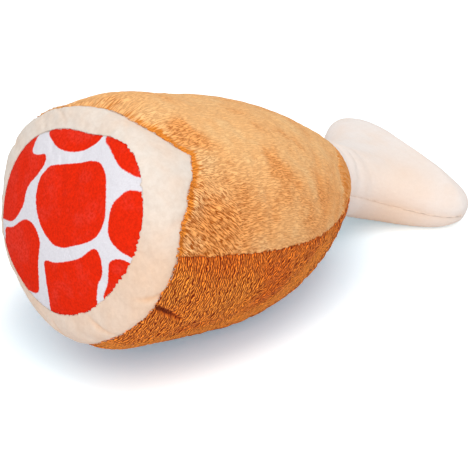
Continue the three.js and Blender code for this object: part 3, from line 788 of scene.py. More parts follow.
class Nodes:
    """A node tree, with a short way to add each kind of node. An input takes a socket, a number or a colour."""

    def __init__(self, tree):
        self.tree = tree

    def feed(self, socket, value):
        if isinstance(value, bpy.types.NodeSocket):
            self.tree.links.new(value, socket)
        elif socket.type == "RGBA":
            socket.default_value = (*value, 1.0)
        else:
            socket.default_value = value

    def add(self, kind, inputs=(), out=0, **values):
        """Adds a node with its settings, feeds its inputs by name or number, and returns one output."""
        node = self.tree.nodes.new(kind)
        for key, value in values.items():
            setattr(node, key, value)
        for key, value in dict(inputs).items():
            self.feed(node.inputs[key], value)
        return node.outputs[out]

    def math(self, operation, *values, clamp=False):
        return self.add("ShaderNodeMath", enumerate(values), operation=operation, use_clamp=clamp)

    def mix(self, factor, first, second, blend="MIX"):
        """A mix of two colours."""
        return self.add("ShaderNodeMix", {0: factor, 6: first, 7: second}, 2, data_type="RGBA", blend_type=blend)

    def ranged(self, value, low, high, to_low=0.0, to_high=1.0):
        """A value carried from one range to another by a smooth step."""
        limits = {"Value": value, "From Min": low, "From Max": high, "To Min": to_low, "To Max": to_high}
        return self.add("ShaderNodeMapRange", limits, "Result", interpolation_type="SMOOTHSTEP")

    def attribute(self, name, out="Fac"):
        return self.add("ShaderNodeAttribute", out=out, attribute_name=name)

    def noise(self, place, scale, detail, roughness):
        values = {"Vector": place, "Scale": scale, "Detail": detail, "Roughness": roughness}
        return self.add("ShaderNodeTexNoise", values, "Fac")

    def grain(self, scale, detail=2.0, roughness=0.6):
        """Noise in the piece's own coordinates, at a scale in clumps per metre."""
        return self.noise(self.add("ShaderNodeTexCoord", out="Object"), scale, detail, roughness)

    def speckled(self, colour, texture, dark, light):
        """The colour times a gain that runs from dark to light with the texture."""
        return self.mix(1.0, colour, self.mix(texture, dark, light), "MULTIPLY")

    def shown_white(self):
        """1 for the rays that show the white background: the camera's own and those in gloss and through clear
        things."""
        shown = self.add("ShaderNodeLightPath", out="Is Camera Ray")
        rays = shown.node.outputs
        for kind in ("Is Glossy Ray", "Is Transmission Ray"):
            shown = self.math("MAXIMUM", shown, rays[kind])
        return shown


def shade(colour, gains):
    """A colour times one gain, or one for each channel, held to 1."""
    return tuple(np.minimum(np.array(colour) * gains, 1).tolist())


def new_material(name, roughness, sheen=0.0, specular=0.2):
    """A material, its nodes, and its shader's inputs with what is the same all over it."""
    made = bpy.data.materials.new(name)
    made.use_nodes = True
    shader = made.node_tree.nodes["Principled BSDF"].inputs
    shader["Roughness"].default_value = roughness
    shader["Specular IOR Level"].default_value = specular
    shader["Sheen Weight"].default_value = sheen
    shader["Sheen Roughness"].default_value = 0.5
    return made, Nodes(made.node_tree), shader


def surfaced(nodes, shader, colour, height, strength, distance):
    """Gives the shader its colour, and a bump from a height."""
    nodes.feed(shader["Base Color"], colour)
    bump = {"Height": height, "Strength": strength, "Distance": distance}
    nodes.feed(shader["Normal"], nodes.add("ShaderNodeBump", bump, "Normal"))


# Roughness of every plush
CLOTH_ROUGHNESS = 0.95

# Patterns of the pile: the levels that are all gap and all clump, the clumps' length and width, and noise's detail
SHORT_ROWS = (-0.75, 0.2, 0.0030, 0.00118)
SHORT_CLUMPS = (0.40, 0.52, 0.0019, 0.0009, 1.0)
LONG_FINE_CLUMPS = (0.38, 0.54, 0.0034, 0.00048, 1.0)
LONG_CLUMPS = (0.34, 0.50, 0.0080, 0.0009, 0.5)

# How many radians the short rows of pile drift with noise
ROW_DRIFT = 11.0

# Gains of red, green and blue: pale nap, for lighter brushing and painted highlights, then the painted highlights on
# the ridges of short and of long pile
PALE_NAP_AND_HIGHLIGHT = (1.04, 1.15, 1.32)
SHORT_RIDGE_HIGHLIGHT, LONG_RIDGE_HIGHLIGHT = (1.27, 1.25, 1.22), (1.17, 1.16, 1.14)


def pile_material(name, tip, root, gap, edge, sheen_tint, round_it, slant):
    """Combed plush. Fine clumps lie along the nap attribute, or aslant to it where the aslant attribute says so, with
    painted shade of the gap colour in the valleys between them and painted highlights on their ridges, as strong as
    the contrast attribute. Brushed patches are darker or lighter, and the same attribute holds painted shade along
    sunk folds and below the panel seam and painted highlights along raised folds and the belly's edge. Painted shade
    low on the sides, in folds and by the seams turns the colour towards the roots' and at its strongest towards a
    darker gap colour, and turned pile at the seams has the edge colour. Where the pile runs round the ham it stands
    in short rows: the sine of 2 pi across / period, drifting with noise."""
    made, nodes, shader = new_material(name, CLOTH_ROUGHNESS, 0.05)
    nodes.feed(shader["Sheen Tint"], sheen_tint)
    nap = nodes.attribute("nap", "Vector")
    swung = nodes.add("ShaderNodeVectorRotate", {"Vector": nap, "Angle": -slant}, rotation_type="Z_AXIS")
    contrast, deep, brushed = (nodes.attribute(key) for key in ("contrast", "deep", "brushed"))

    def clumps(place, length, width, detail):
        longer = nodes.add("ShaderNodeVectorMath", {0: place, 1: (1 / length, 1 / width, 1)}, operation="MULTIPLY")
        return nodes.noise(longer, 1.0, detail, 0.55)

    def combed(place, length, period):
        across = nodes.add("ShaderNodeSeparateXYZ", {0: place}, "Y")
        turns = nodes.math("MULTIPLY", across, 2 * math.pi / period)
        drift = clumps(place, length, 2 * period, 1.0)
        return nodes.math("SINE", nodes.math("MULTIPLY_ADD", drift, ROW_DRIFT, turns))

    def either_way(pattern, low, high, *sizes):
        ways = {0: nodes.attribute("aslant"), 2: pattern(nap, *sizes), 3: pattern(swung, *sizes)}
        return nodes.ranged(nodes.add("ShaderNodeMix", ways, data_type="FLOAT"), low, high)

    if round_it:
        first, second, lit = either_way(combed, *SHORT_ROWS), either_way(clumps, *SHORT_CLUMPS), SHORT_RIDGE_HIGHLIGHT
    else:
        first, second, lit = either_way(clumps, *LONG_FINE_CLUMPS), either_way(clumps, *LONG_CLUMPS), LONG_RIDGE_HIGHLIGHT
    relief = nodes.math("MULTIPLY", nodes.ranged(first, 0, 1), nodes.ranged(second, 0, 1, 0.45))
    relief = nodes.math("MULTIPLY", relief, nodes.ranged(nodes.attribute("pile"), 0, 1, 0.85))
    ridge = nodes.math("MULTIPLY", relief, contrast, clamp=True)
    valley = nodes.math("MULTIPLY", nodes.math("SUBTRACT", 1.0, relief), contrast, clamp=True)

    # Painted shade turns the colour towards the roots'
    colour = nodes.mix(nodes.ranged(deep, 0, 1, 0, 0.75), tip, root)
    # Darker brushed patches and painted shade, then lighter brushing and painted highlights
    colour = nodes.mix(nodes.ranged(brushed, 0, 1, 0, 0.85), colour, tuple((a + b) / 2 for a, b in zip(tip, root)))
    colour = nodes.mix(nodes.ranged(brushed, -1, 0, 0.7, 0), colour, shade(tip, PALE_NAP_AND_HIGHLIGHT))
    ragged = nodes.math("MULTIPLY_ADD", second, -0.4, nodes.attribute("turned"))
    colour = nodes.mix(nodes.ranged(ragged, 0, 0.45), colour, edge)
    # Painted highlights on the ridges and painted shade in the valleys between the clumps
    colour = nodes.mix(ridge, colour, nodes.mix(1.0, colour, lit, "MULTIPLY"))
    colour = nodes.mix(valley, colour, gap)
    # Strongest painted shade, in folds and by seams: a darker gap colour
    colour = nodes.mix(nodes.ranged(deep, 0.6, 1, 0, 0.8), colour, shade(gap, 0.4))
    fine = nodes.grain(1700)
    colour = nodes.speckled(colour, fine, (0.88, 0.86, 0.84), (1.12, 1.14, 1.16))
    surfaced(nodes, shader, colour, nodes.math("MULTIPLY_ADD", fine, 0.25, relief), 0.6, 0.0006)
    return made


def tuft_material(name, tip, root):
    """Loose tufts: root to tip colour by the pile attribute, with fine specks."""
    made, nodes, shader = new_material(name, CLOTH_ROUGHNESS, 0.1)
    colour = nodes.mix(nodes.ranged(nodes.attribute("pile"), 0.1, 0.75), root, tip)
    nodes.feed(shader["Base Color"], nodes.speckled(colour, nodes.grain(900), (0.85,) * 3, (1.15,) * 3))
    return made


def cream_material(name, base, crease, mottle):
    """Short smooth plush, with painted warm shade where its shade attribute says and the same warm tone in broad random
    patches, and mottled by its pile.
    """
    made, nodes, shader = new_material(name, CLOTH_ROUGHNESS, 0.06)
    nodes.feed(shader["Sheen Tint"], (1, 0.97, 0.93))
    fine, medium, broad = nodes.grain(1300, 3.0), nodes.grain(380, 3.0), nodes.grain(55)
    # Painted warm shade where the attribute says, then the same warm tone in random broad patches
    colour = nodes.mix(nodes.attribute("crease"), base, crease)
    colour = nodes.mix(nodes.ranged(broad, 0.35, 0.75, 0.0, 0.3), colour, crease)
    darker = tuple(1 - step * mottle for step in (0.03, 0.045, 0.06))
    lighter = tuple(1 + step * mottle for step in (0.03, 0.035, 0.04))
    colour = nodes.speckled(colour, nodes.ranged(medium, 0.3, 0.7), darker, lighter)
    colour = nodes.speckled(colour, fine, (0.96,) * 3, (1.03,) * 3)
    height = nodes.math("MULTIPLY_ADD", fine, 0.5, medium)
    surfaced(nodes, shader, colour, height, 0.25 + 0.25 * mottle, 0.0004)
    return made


def print_material(name, red, white):
    """Printed short plush: the print attribute is the distance inside a red cell, in metres, and its edge wanders by
    the pile. Its other attribute lightens the red with painted sheen towards the disc's far side from the camera, and
    the same paler red lies in random patches."""
    made, nodes, shader = new_material(name, CLOTH_ROUGHNESS, specular=0.05)
    fine = nodes.grain(1400, 3.0)
    wander = nodes.ranged(fine, 0.3, 0.7, -0.0002, 0.0002)
    inside = nodes.ranged(nodes.math("ADD", nodes.attribute("print"), wander), -0.0003, 0.0003)
    faded = tuple(v + 0.035 * (1 - v) for v in red)
    patches = nodes.ranged(nodes.grain(75, 3.0), 0.45, 0.70, 0.0, 0.6)
    flecks = nodes.ranged(nodes.grain(800), 0.35, 0.70, 0.0, 0.8)
    # Paler red in random patches, and painted sheen where the attribute says
    cell = nodes.mix(nodes.attribute("faded"), nodes.mix(patches, red, faded), faded)
    colour = nodes.mix(inside, white, nodes.mix(flecks, cell, shade(red, 0.76)))
    colour = nodes.speckled(colour, fine, (0.88, 0.86, 0.86), (1.1, 1.14, 1.14))
    surfaced(nodes, shader, colour, fine, 0.35, 0.0003)
    return made


def plastic_material(name, colour, roughness):
    """Moulded plastic with faint flow marks."""
    made, nodes, shader = new_material(name, roughness)
    flow = nodes.grain(220)
    surfaced(nodes, shader, nodes.mix(flow, shade(colour, 0.92), colour), flow, 0.1, 0.0002)
    return made


def fibre_material(name, colour):
    """Tangled white polyester fibre."""
    made, nodes, shader = new_material(name, 1.0, 0.3)
    tangle = nodes.grain(260, 5.0, 0.7)
    surfaced(nodes, shader, nodes.mix(tangle, shade(colour, 0.8), colour), tangle, 0.8, 0.002)
    return made


def finished(piece, material, body=None, nodes=()):
    """Gives the piece its material and slot and the body that it rides on, and hides the nodes that it stands for. A
    piece that crosses a joint has no body here."""
    piece.data.materials.append(material)
    if body:
        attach(piece, body)
    if nodes:
        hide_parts(*nodes)
    return piece


def uneven(points, spacing, height, seed):
    """Soft unevenness: height x (noise - 1/2)."""
    return height * (noise(points, spacing, seed) - 0.5)


def frayed(form, gap, spacing, level, height, reach, seed):
    """Jags of the pile by a seam: (noise - level) x height x exp(-gap/reach), where that is above 0."""
    return np.maximum(height * (noise(form, spacing, seed) - level) * fading(gap, reach), 0)[..., None]


def edged(inside, every):
    """Shares across a cover, with three more rows at each end that turn down into its seam, and how far down each
    row is turned. The number of rows suits the coarse backing."""
    turned = len(TURNED_ROWS)
    count = math.ceil((inside + 2 * turned) / every) * every - 2 * turned
    share = np.concatenate([np.zeros(turned), np.linspace(0, 1, count + 1), np.ones(turned)])
    down = np.concatenate([TURNED_ROWS, np.zeros(count + 1), TURNED_ROWS[::-1]])
    return share, down


def round_grid(share, down, radius):
    """Shares by angles right round a radius, and how far down each place is turned."""
    columns = int(2 * np.pi * radius / settings().look.cell_size / BACKING_STEP) * BACKING_STEP
    share, angle = np.meshgrid(share, np.arange(columns) * 2 * np.pi / columns, indexing="ij")
    return share, angle, np.broadcast_to(down[:, None], share.shape)


def pulled(distance):
    """Depth to which a seam pulls the cover at a distance from it: depth x exp(-distance/width)."""
    look = settings().look
    return look.seam_depth * fading(distance, look.seam_width)


def outward(zone, share, angle):
    """Unit normals of the form under a cover, and the unit directions in which its share and its angle grow."""
    step = 1e-3
    low, high = np.maximum(share - step, 0), np.minimum(share + step, 1)
    down = skin(zone, high, angle, 0.0) - skin(zone, low, angle, 0.0)
    across = skin(zone, share, angle + step, 0.0) - skin(zone, share, angle - step, 0.0)
    normal = unit(np.cross(down, across))
    centre, _, side, up = spine(body_place(share, angle) if zone == "body" else np.zeros_like(share))
    out = np.cos(angle)[..., None] * side + np.sin(angle)[..., None] * up
    if zone != "body":
        out = out * smooth(share)[..., None] - spine(np.zeros_like(share))[1]
    facing = np.sign(np.einsum("...k,...k->...", normal, out))
    return normal * facing[..., None], unit(down), unit(across)


def filled(zone, share, angle):
    """Places of the covers as their filling leaves them."""
    return skin(zone, share, angle, 0.0) + stuffed(zone, share, angle)


def cell_depth(across, up):
    """How far inside the nearest red cell a place of the disc is, in metres, negative outside. Each outline is a
    closed Catmull-Rom curve, taken as a polygon of short sides, and the distance is to its nearest side."""
    place = np.stack([across.ravel(), up.ravel()], -1)
    best = np.full(len(place), -1.0)
    for outline in CELL_SHARES.values():
        turns = np.arange(0, 2 * np.pi, 2 * np.pi / (len(outline) * CELL_SIDES))
        ring = np.stack([share_at(column, turns) for column in zip(*outline)], -1)
        near, inside = np.full(len(place), np.inf), np.zeros(len(place), bool)
        for a, b in zip(ring, np.roll(ring, -1, axis=0)):
            side = b - a
            along = np.clip((place - a) @ side / (side @ side), 0, 1)
            near = np.minimum(near, np.linalg.norm(place - a - along[:, None] * side, axis=1))
            crosses = (a[1] > place[:, 1]) != (b[1] > place[:, 1])
            at = a[0] + (place[:, 1] - a[1]) * side[0] / (side[1] if side[1] else 1e-9)
            inside ^= crosses & (place[:, 0] < at)
        best = np.maximum(best, np.where(inside, near, -near))
    return (best * settings().ham.disc_radius).reshape(across.shape)


class HAMTOY_OT_printed_face(bpy.types.Operator):
    """Printed plush disc of the cut face"""

    bl_idname = "ham_toy.printed_face"
    bl_label = "Printed face"

    def execute(self, context):
        look, ham = settings().look, settings().ham
        _, down = edged(int(ham.disc_radius / look.cell_size), BACKING_STEP)
        turned = len(TURNED_ROWS)
        rows = (len(down) - turned - 2) // BACKING_STEP * BACKING_STEP + 1
        share = np.concatenate([np.linspace(POLE_SHARE, 1, rows - turned), np.ones(turned)])
        share, angle, down = round_grid(share, down[-rows:], ham.disc_radius)
        edge = ham.disc_radius * share_at(DISC_SHARES, angle) * (1 - share)
        points = filled("disc", share, angle)
        raised = uneven(points, 0.0009, 0.0003, 3) * (down == 0) - 0.4 * pulled(edge) - down * ham.cover * TURN_SHARE
        points = points + outward("disc", share, angle)[0] * raised[..., None]
        across, up = share * np.cos(angle), share * np.sin(angle)
        # Painted sheen: the red is paler towards the disc's far side from the camera, in patches
        values = {"print": cell_depth(across, up), "faded": fall(across, -0.1, 1) * noise(points, 0.012, 4)}
        backing = skin("disc", share, angle, ham.cover)
        piece = closed_cover("printed_face", points, backing, BACKING_STEP, "pole", values)
        plush = print_material("printed short plush", *colours("red", "white"))
        finished(piece, plush, "ham", ["meat_disc"])
        return {"FINISHED"}


class HAMTOY_OT_cream_ring(bpy.types.Operator):
    """Cream plush ring from the disc's edge over the shoulder to the body seam"""

    bl_idname = "ham_toy.cream_ring"
    bl_label = "Cream ring"

    def execute(self, context):
        look, ham = settings().look, settings().ham
        share, down = edged(int(RING_WIDTH / look.cell_size), RING_BACKING_STEP)
        share, angle, down = round_grid(share, down, ham.fullest_radius)
        flat = down == 0
        form, points = skin("ring", share, angle, 0.0), filled("ring", share, angle)
        normal = outward("ring", share, angle)[0]
        width = np.linalg.norm(np.diff(form, axis=0), axis=-1).sum(axis=0)
        inner, outer, creases = share * width, (1 - share) * width, ring_creases(share, angle)
        fuzz = uneven(points, 0.0011, 0.00022, 5) + uneven(points, 0.0040, 0.0004, 6)
        sunk = 0.3 * pulled(inner) + 0.5 * pulled(outer) + down * ham.cover * TURN_SHARE + RING_CREASE_DEPTH * creases
        lip = DISC_LIP_HEIGHT * fading(inner, DISC_LIP_REACH)
        points = points + normal * ((fuzz + lip) * flat - sunk)[..., None]
        by_camera = (0.3 + 0.7 * np.sqrt(np.maximum(np.cos(angle), 0)))[..., None]
        off_disc = unit(skin("ring", 0.0 * share, angle, 0.0) - skin("disc", 0.9 + 0.0 * share, angle, 0.0))
        points = points - off_disc * by_camera * frayed(form, inner, *RING_INNER_JAGS)
        points = points + unit(np.gradient(form, axis=0)) * frayed(form, outer, *RING_OUTER_JAGS)
        points[..., 2] = np.maximum(points[..., 2], 0)
        # Painted warm shade: in the creases, lower on the ring, and round its side by the camera
        shade_warmth = 0.28 * fall(form[..., 2], 0.082, 0.045) + 0.55 * hump(turn_from(-8, angle), 30)
        values = {"crease": np.clip(0.4 * creases + shade_warmth, 0, 1)}
        backing = skin("ring", share, angle, ham.cover)
        piece = closed_cover("cream_ring", points, backing, RING_BACKING_STEP, "round", values)
        plush = cream_material("cream short plush", *colours("cream", "cream_shade_and_warmth"), 1.0)
        finished(piece, plush, "ham", ["face_ring"])
        return {"FINISHED"}


# Soft radial creases of the ring: middle angle, middle share, width in degrees, reach in shares, depth from 0 to 1
RING_CREASES = (
    (-17, 0.75, 2.1, 0.3, 0.9), (-55, 0.35, 1.54, 0.25, 0.8), (-50, 0.6, 1.26, 0.3, 0.6), (20, 0.8, 2.8, 0.3, 0.35),
    (75, 0.7, 2.1, 0.3, 0.45), (118, 0.5, 2.1, 0.35, 0.5), (160, 0.6, 2.1, 0.3, 0.6), (205, 0.5, 1.75, 0.3, 0.7),
    (235, 0.6, 1.75, 0.3, 0.6), (272, 0.5, 1.54, 0.3, 0.7),
)


def ring_creases(share, angle):
    """How deep the ring's creases are, from 0 to 1 for each. A crease is a bell across its line, which slants over the
    ring, and a bell along it."""
    total = np.zeros_like(share)
    for centre, middle, width, reach, depth in RING_CREASES:
        gap = turn_from(centre, angle) - RING_CREASE_SLANT * (share - middle)
        total += depth * hump(gap, width) * hump(share - middle, reach)
    return total


# Folds: (distance from the face, degrees) points, depth, width. Above 0 sinks and below 0 stands up
FOLDS = (
    (((0.006, -19.5), (0.013, -23), (0.019, -26), (0.022, -27.5)), 0.0019, 0.0016),
    (((0.013, -23), (0.019, -26), (0.030, -31.5)), 0.0018, 0.0013),
    (((0.008, -14), (0.015, -18), (0.024, -23)), -0.0012, 0.0024),
    (((0.079, 51), (0.083, 42), (0.088, 37), (0.095, 32)), 0.0009, 0.0040),
    (((0.074, 58), (0.082, 53), (0.089, 48), (0.097, 42), (0.102, 38)), -0.0008, 0.0034),
    (((0.104, 42), (0.107, 36), (0.109, 28), (0.111, 20), (0.113, 13)), -0.0009, 0.0024),
    (((0.119, 36), (0.121, 25), (0.122, 14)), 0.0006, 0.0040),
    (((0.145, 45), (0.148, 32), (0.150, 22), (0.152, 6)), -0.0007, 0.0018),
    (((0.157, 50), (0.159, 30), (0.160, 12)), 0.0007, 0.0024),
    (((0.110, 78), (0.113, 68), (0.113, 58)), 0.0006, 0.0045),
    (((0.029, 68), (0.033, 60), (0.040, 55), (0.047, 50)), 0.0008, 0.0040),
    (((0.150, 110), (0.152, 135), (0.149, 160)), 0.0008, 0.0025),
    (((0.154, 9), (0.160, 5), (0.167, 2)), 0.0014, 0.0016),
    (((0.016, 205), (0.035, 212), (0.050, 218)), 0.0016, 0.0024),
    (((0.018, 140), (0.034, 146), (0.046, 150)), 0.0008, 0.0040),
    (((0.014, 262), (0.030, 258), (0.044, 250)), 0.0010, 0.0026),
    (((0.040, -42), (0.066, -36), (0.096, -25), (0.112, -12)), 0.0009, 0.0050),
)


def body_folds(s, angle):
    """The folds of the ham's sides, as how far each place sinks. Each gather is a bell across its slanting line and a
    wide one round the ham."""
    total = sum(groove(s, angle, line, depth, width) for line, depth, width in FOLDS)
    for place, middle, slant, depth, width, spread in GATHERS:
        turn = turn_from(middle, angle)
        total = total + depth * hump(s - place - slant * turn, width) * hump(turn, spread)
    return total


def spotted(s, angle, spots):
    """Sum of soft spots on the ham's side, each (distance from the face, degrees, reach, weight): weight x
    exp(-(gap/reach)^2)."""
    radius = settings().ham.fullest_radius
    total = np.zeros_like(s)
    for place, degrees, reach, weight in spots:
        gap = np.hypot(s - place, np.radians(turn_from(degrees, angle)) * radius)
        total += weight * hump(gap, reach)
    return total


# Brushed patches, darker where the nap lies the other way. On top there is also painted shade along sunk folds and
# painted highlights along raised ones, and under the ham painted shade below the panel seam and along a fold, with
# lighter patches: (distance from the face, degrees, reach, weight)
TOP_SPOTS = (
    (0.030, 67, 0.007, 0.8), (0.031, 60, 0.007, 0.9), (0.037, 58, 0.007, 0.7), (0.043, 54, 0.006, 0.7),
    (0.080, 48, 0.006, 0.6), (0.084, 42, 0.008, 0.6), (0.089, 36, 0.010, 0.5), (0.098, 29, 0.012, 0.5),
    (0.091, 83, 0.008, 0.4), (0.113, 68, 0.010, 0.4), (0.112, 48, 0.008, 0.5), (0.126, 38, 0.010, 0.2),
    (0.102, 20, 0.012, 0.4), (0.119, 27, 0.008, 0.3),
    (0.141, 75, 0.010, 0.3), (0.060, 118, 0.014, 0.4), (0.112, 132, 0.013, 0.5),
    (0.030, 150, 0.012, 0.5), (0.058, 30, 0.012, 0.3),
    (0.080, 54, 0.006, -0.5), (0.089, 47, 0.006, -0.5), (0.098, 41, 0.005, -0.4), (0.107, 36, 0.004, -0.9),
    (0.109, 29, 0.004, -1.0), (0.110, 22, 0.004, -0.8), (0.112, 15, 0.004, -0.5), (0.148, 31, 0.004, -0.7),
    (0.150, 20, 0.004, -0.7), (0.152, 8, 0.004, -0.5), (0.040, 40, 0.012, -0.5), (0.060, 66, 0.016, -0.4),
)
UNDER_SPOTS = (
    (0.025, 1, 0.009, 0.7), (0.044, -1, 0.009, 0.8), (0.062, -3, 0.009, 0.8), (0.075, -8, 0.009, 0.9),
    (0.084, -17, 0.009, 0.9), (0.090, -8, 0.010, 0.6), (0.073, -27, 0.006, 0.7), (0.081, -24, 0.006, 0.6),
    (0.024, -24, 0.008, 0.5), (0.030, -44, 0.010, 0.2), (0.018, -8, 0.010, -0.8), (0.060, -15, 0.010, -1.0),
    (0.050, -22, 0.010, -0.7), (0.037, -31, 0.008, -0.6), (0.012, -13, 0.006, -0.6), (0.020, -17, 0.006, -0.5),
)

# Painted light: a lighter band along the belly's edge, as (distance from the face, degrees) points
UNDER_LIT_BAND = ((0.012, -62), (0.032, -57), (0.054, -49), (0.068, -43), (0.084, -37), (0.100, -28), (0.112, -19),
              (0.130, -9))


def hem_start(angle):
    """Where the rolled rim at the mouth begins. On the camera's side the mouth is cut back aslant, so it begins
    earlier there."""
    ham = settings().ham
    return ham.length - ham.hem_width - MOUTH_SLANT * fall(np.abs(turn_from(3, angle)), 60, 50)


def nap_place(s, angle, upper, form):
    """Where each place lies on the flat panel, along and across its nap: the distance from the face, and the angle
    from the panel's middle times the local radius. Under the ham the nap runs round it, and slants a little more the
    further it is from the face. Both wander with noise."""
    lean = angle - np.pi / 2 if upper else angle - 3 * np.pi / 2
    along, across = s.copy(), lean * ham_radius(s)
    if not upper:
        along, across = across, along + NAP_SHEAR * across * np.sign(lean)
    across = across + 0.0030 * noise(form, 0.030, 11) + 0.0010 * noise(form, 0.009, 12)
    return np.stack([along, across * (-1 if upper else 1), np.zeros_like(s)], -1)


def side_seam(share):
    """Angle of the panel seam, which runs evenly with the distance from the face."""
    ham = settings().ham
    place = ham.ring_depth + (ham.length - ham.ring_depth) * share
    return ham.seam_angle_face + (ham.seam_angle_mouth - ham.seam_angle_face) * place / ham.length


def panel_ends(seam, upper):
    """First and last angle of a panel whose seams stand at an angle above the section's sides."""
    return (seam, np.pi - seam) if upper else (np.pi - seam, seam + 2 * np.pi)


def body_cover(name, upper):
    """One panel of the ham: angles between the two side seams, shares from the ring's seam to the hem, turned down
    at its edges, with folds, combed pile and jagged pile edges. Each soft edge is a smooth step, and each seam's pull
    and painted shade is a bell or an exponential of the distance from it."""
    look, ham = settings().look, settings().ham
    rows, rows_down = edged(int(ham.length / look.cell_size), BACKING_STEP)
    columns, columns_down = edged(int(np.pi * ham.fullest_radius * PANEL_WIDTH / look.cell_size), BACKING_STEP)
    share, across = np.meshgrid(rows, columns, indexing="ij")
    down = np.maximum(rows_down[:, None], columns_down[None, :])
    flat = down == 0
    first, last = panel_ends(side_seam(share), upper)
    angle = first + (last - first) * across
    s = body_place(share, angle)
    form = skin("body", share, angle, 0.0)
    side_gap = np.minimum(across, 1 - across) * (last - first) * ham_radius(s)
    ring_gap, hem_gap = ((ham.length - ham.ring_depth) * part for part in (share, 1 - share))
    normal, along, around = outward("body", share, angle)
    nap = nap_place(s, angle, upper, form)
    swing = noise(form, 0.010, 14) - 0.5
    folds = body_folds(s, angle)
    past_hem = s - hem_start(angle)
    seam_pile = hump(ring_gap, 0.0024 + 0.004 * noise(form, 0.0035, 19))

    # How the pile lies; where it is brushed, with painted shade and highlights on its folds; where it is turned over a
    # seam; its painted shade low on the sides, by the mouth, in folds and by the seams; and the lip along the panel
    # seam
    if upper:
        from_top = np.abs(np.degrees(angle) - 90)
        low = rise(from_top, 32, 40)
        aslant = rise(low * fall(s, 0.070, 0.04) + 0.4 * swing, 0.35, 0.25)
        by_ring = hump(ring_gap, 0.016) * fall(from_top, 70, 30)
        # How strongly the clumps' painted shade and highlights show and how high they stand, most low on the sides by
        # the ring
        contrast = 0.21 + low * (0.80 * fall(s, 0.085, 0.065) + 0.12 * fall(s, 0.140, 0.03)) + 0.25 * by_ring
        pile = streaks(nap, look.clump_length, look.clump_width, 21)
        brushed = spotted(s, angle, TOP_SPOTS) + 1.2 * (noise(form, 0.017, 17) - 0.58) + uneven(form, 0.006, 1.0, 18)
        by_camera = 0.35 + 0.65 * fall(np.abs(np.degrees(angle)), 84, 26)
        turned = np.maximum(seam_pile * by_camera, 0.64 * rise(past_hem, -0.0010, 0.0030))
        by_mouth = rise(s, 0.085, 0.03) * fall(s, 0.155, 0.02)
        # Painted shade low on the sides, strongest by the ring and by the mouth
        deep = low * (0.08 + 0.58 * fall(s, 0.11, 0.08) + 0.36 * by_mouth)
        shaded, lip = 300 * np.maximum(folds, 0), SIDE_LIP_HEIGHT * fading(side_gap, SIDE_LIP_REACH)
    else:
        aslant = rise(rise(s, 0.055, 0.03) + 0.6 * swing, 0.35, 0.25)
        # Painted light along the belly's edge, lighter and with weaker clumps
        lit_band = groove(s, angle, UNDER_LIT_BAND, 1.0, 0.0085)
        contrast = (1.0 + 0.25 * noise(form, 0.018, 13)) * (1 - 0.45 * lit_band)
        pile = streaks(nap, look.clump_length * UNDER_LENGTH_SHARE, look.clump_width * UNDER_WIDTH_SHARE, 22)
        brushed = spotted(s, angle, UNDER_SPOTS) + 0.9 * (noise(form, 0.016, 17) - 0.6) - 1.3 * lit_band
        turned = 0.35 * seam_pile
        # Painted shade below the panel seam
        deep = 0.35 * fall(side_gap, 0.022, 0.018)
        shaded = 800 * np.maximum(folds, 0) + 1.6 * fading(side_gap, 0.0009) + 0.8 * fading(ring_gap, 0.0006)
        lip = 0.0

    # Its shape: the hem's groove and rim, the seams' pull, the clumps, and the pile that stands out by the seams
    hem = HEM_GROOVE_DEPTH * hump(past_hem, HEM_GROOVE_WIDTH)
    hem = hem - HEM_RIM_HEIGHT * hump(past_hem - HEM_RIM_PLACE, HEM_RIM_WIDTH)
    sunk = look.deepest * np.tanh((pulled(side_gap) + 0.8 * pulled(ring_gap) + folds + hem) / look.deepest)
    sunk = np.maximum(sunk, down * ham.cover * BODY_TURN_SHARE)
    raised = look.pile_height * (0.3 + 0.7 * contrast) * (pile - CLUMP_LEVEL)
    ring_lip = RING_LIP_HEIGHT + FAR_LIP_HEIGHT * hump(turn_from(FAR_LIP_ANGLE, angle), FAR_LIP_SPREAD)
    raised = raised + lip + ring_lip * fading(ring_gap, RING_LIP_REACH)
    rounded = HEM_ROUND_DEPTH * fading(hem_gap, HEM_ROUND_REACH)
    points = filled("body", share, angle) - along * frayed(form, ring_gap, *BODY_RING_JAGS)
    points = points + normal * (raised * flat - sunk - rounded)[..., None]
    if upper:
        to_seam = np.where(across < 0.5, -1.0, 1.0)[..., None]
        points = points + around * to_seam * frayed(form, side_gap, *BODY_SIDE_JAGS)
        contrast = contrast + 0.35 * np.clip(brushed, 0, 1)
    points[..., 2] = np.maximum(points[..., 2], 0)
    backing = skin("body", share, angle, np.maximum(ham.cover, widest(sunk, BACKING_STEP) + BACKING_CLEARANCE))
    # The painted shade of folds and seams joins it
    deep = deep + 0.6 * np.clip(shaded, 0, 1.6)
    values = {"pile": pile, "nap": nap, "aslant": aslant, "contrast": np.clip(contrast, 0, 1),
              "brushed": np.clip(brushed, -1, 1), "turned": np.clip(turned, 0, 1), "deep": np.clip(deep, 0, 1)}
    return closed_cover(name, points, backing, BACKING_STEP, "open", values)


class HAMTOY_OT_body_panels(bpy.types.Operator):
    """Light tan panel over the top of the ham and dark tan panel under it"""

    bl_idname = "ham_toy.body_panels"
    bl_label = "Body panels"

    def execute(self, context):
        slant = settings().look.slant
        tan = pile_material("light tan combed plush", *colours("tan_tip", "tan_root", "tan_gap_shade", "tan_edge"),
                            srgb(*TAN_SHEEN), False, slant)
        brown = pile_material("dark tan combed plush", *colours("brown_tip", "brown_root", "brown_gap_shade", "tan_edge"),
                              srgb(*BROWN_SHEEN), True, UNDER_SLANT_SHARE * slant)
        finished(body_cover("tan_top_plush", True), tan, "ham", ["body_top_panel"])
        finished(body_cover("brown_under_plush", False), brown, "ham", ["body_under_panel"])
        return {"FINISHED"}


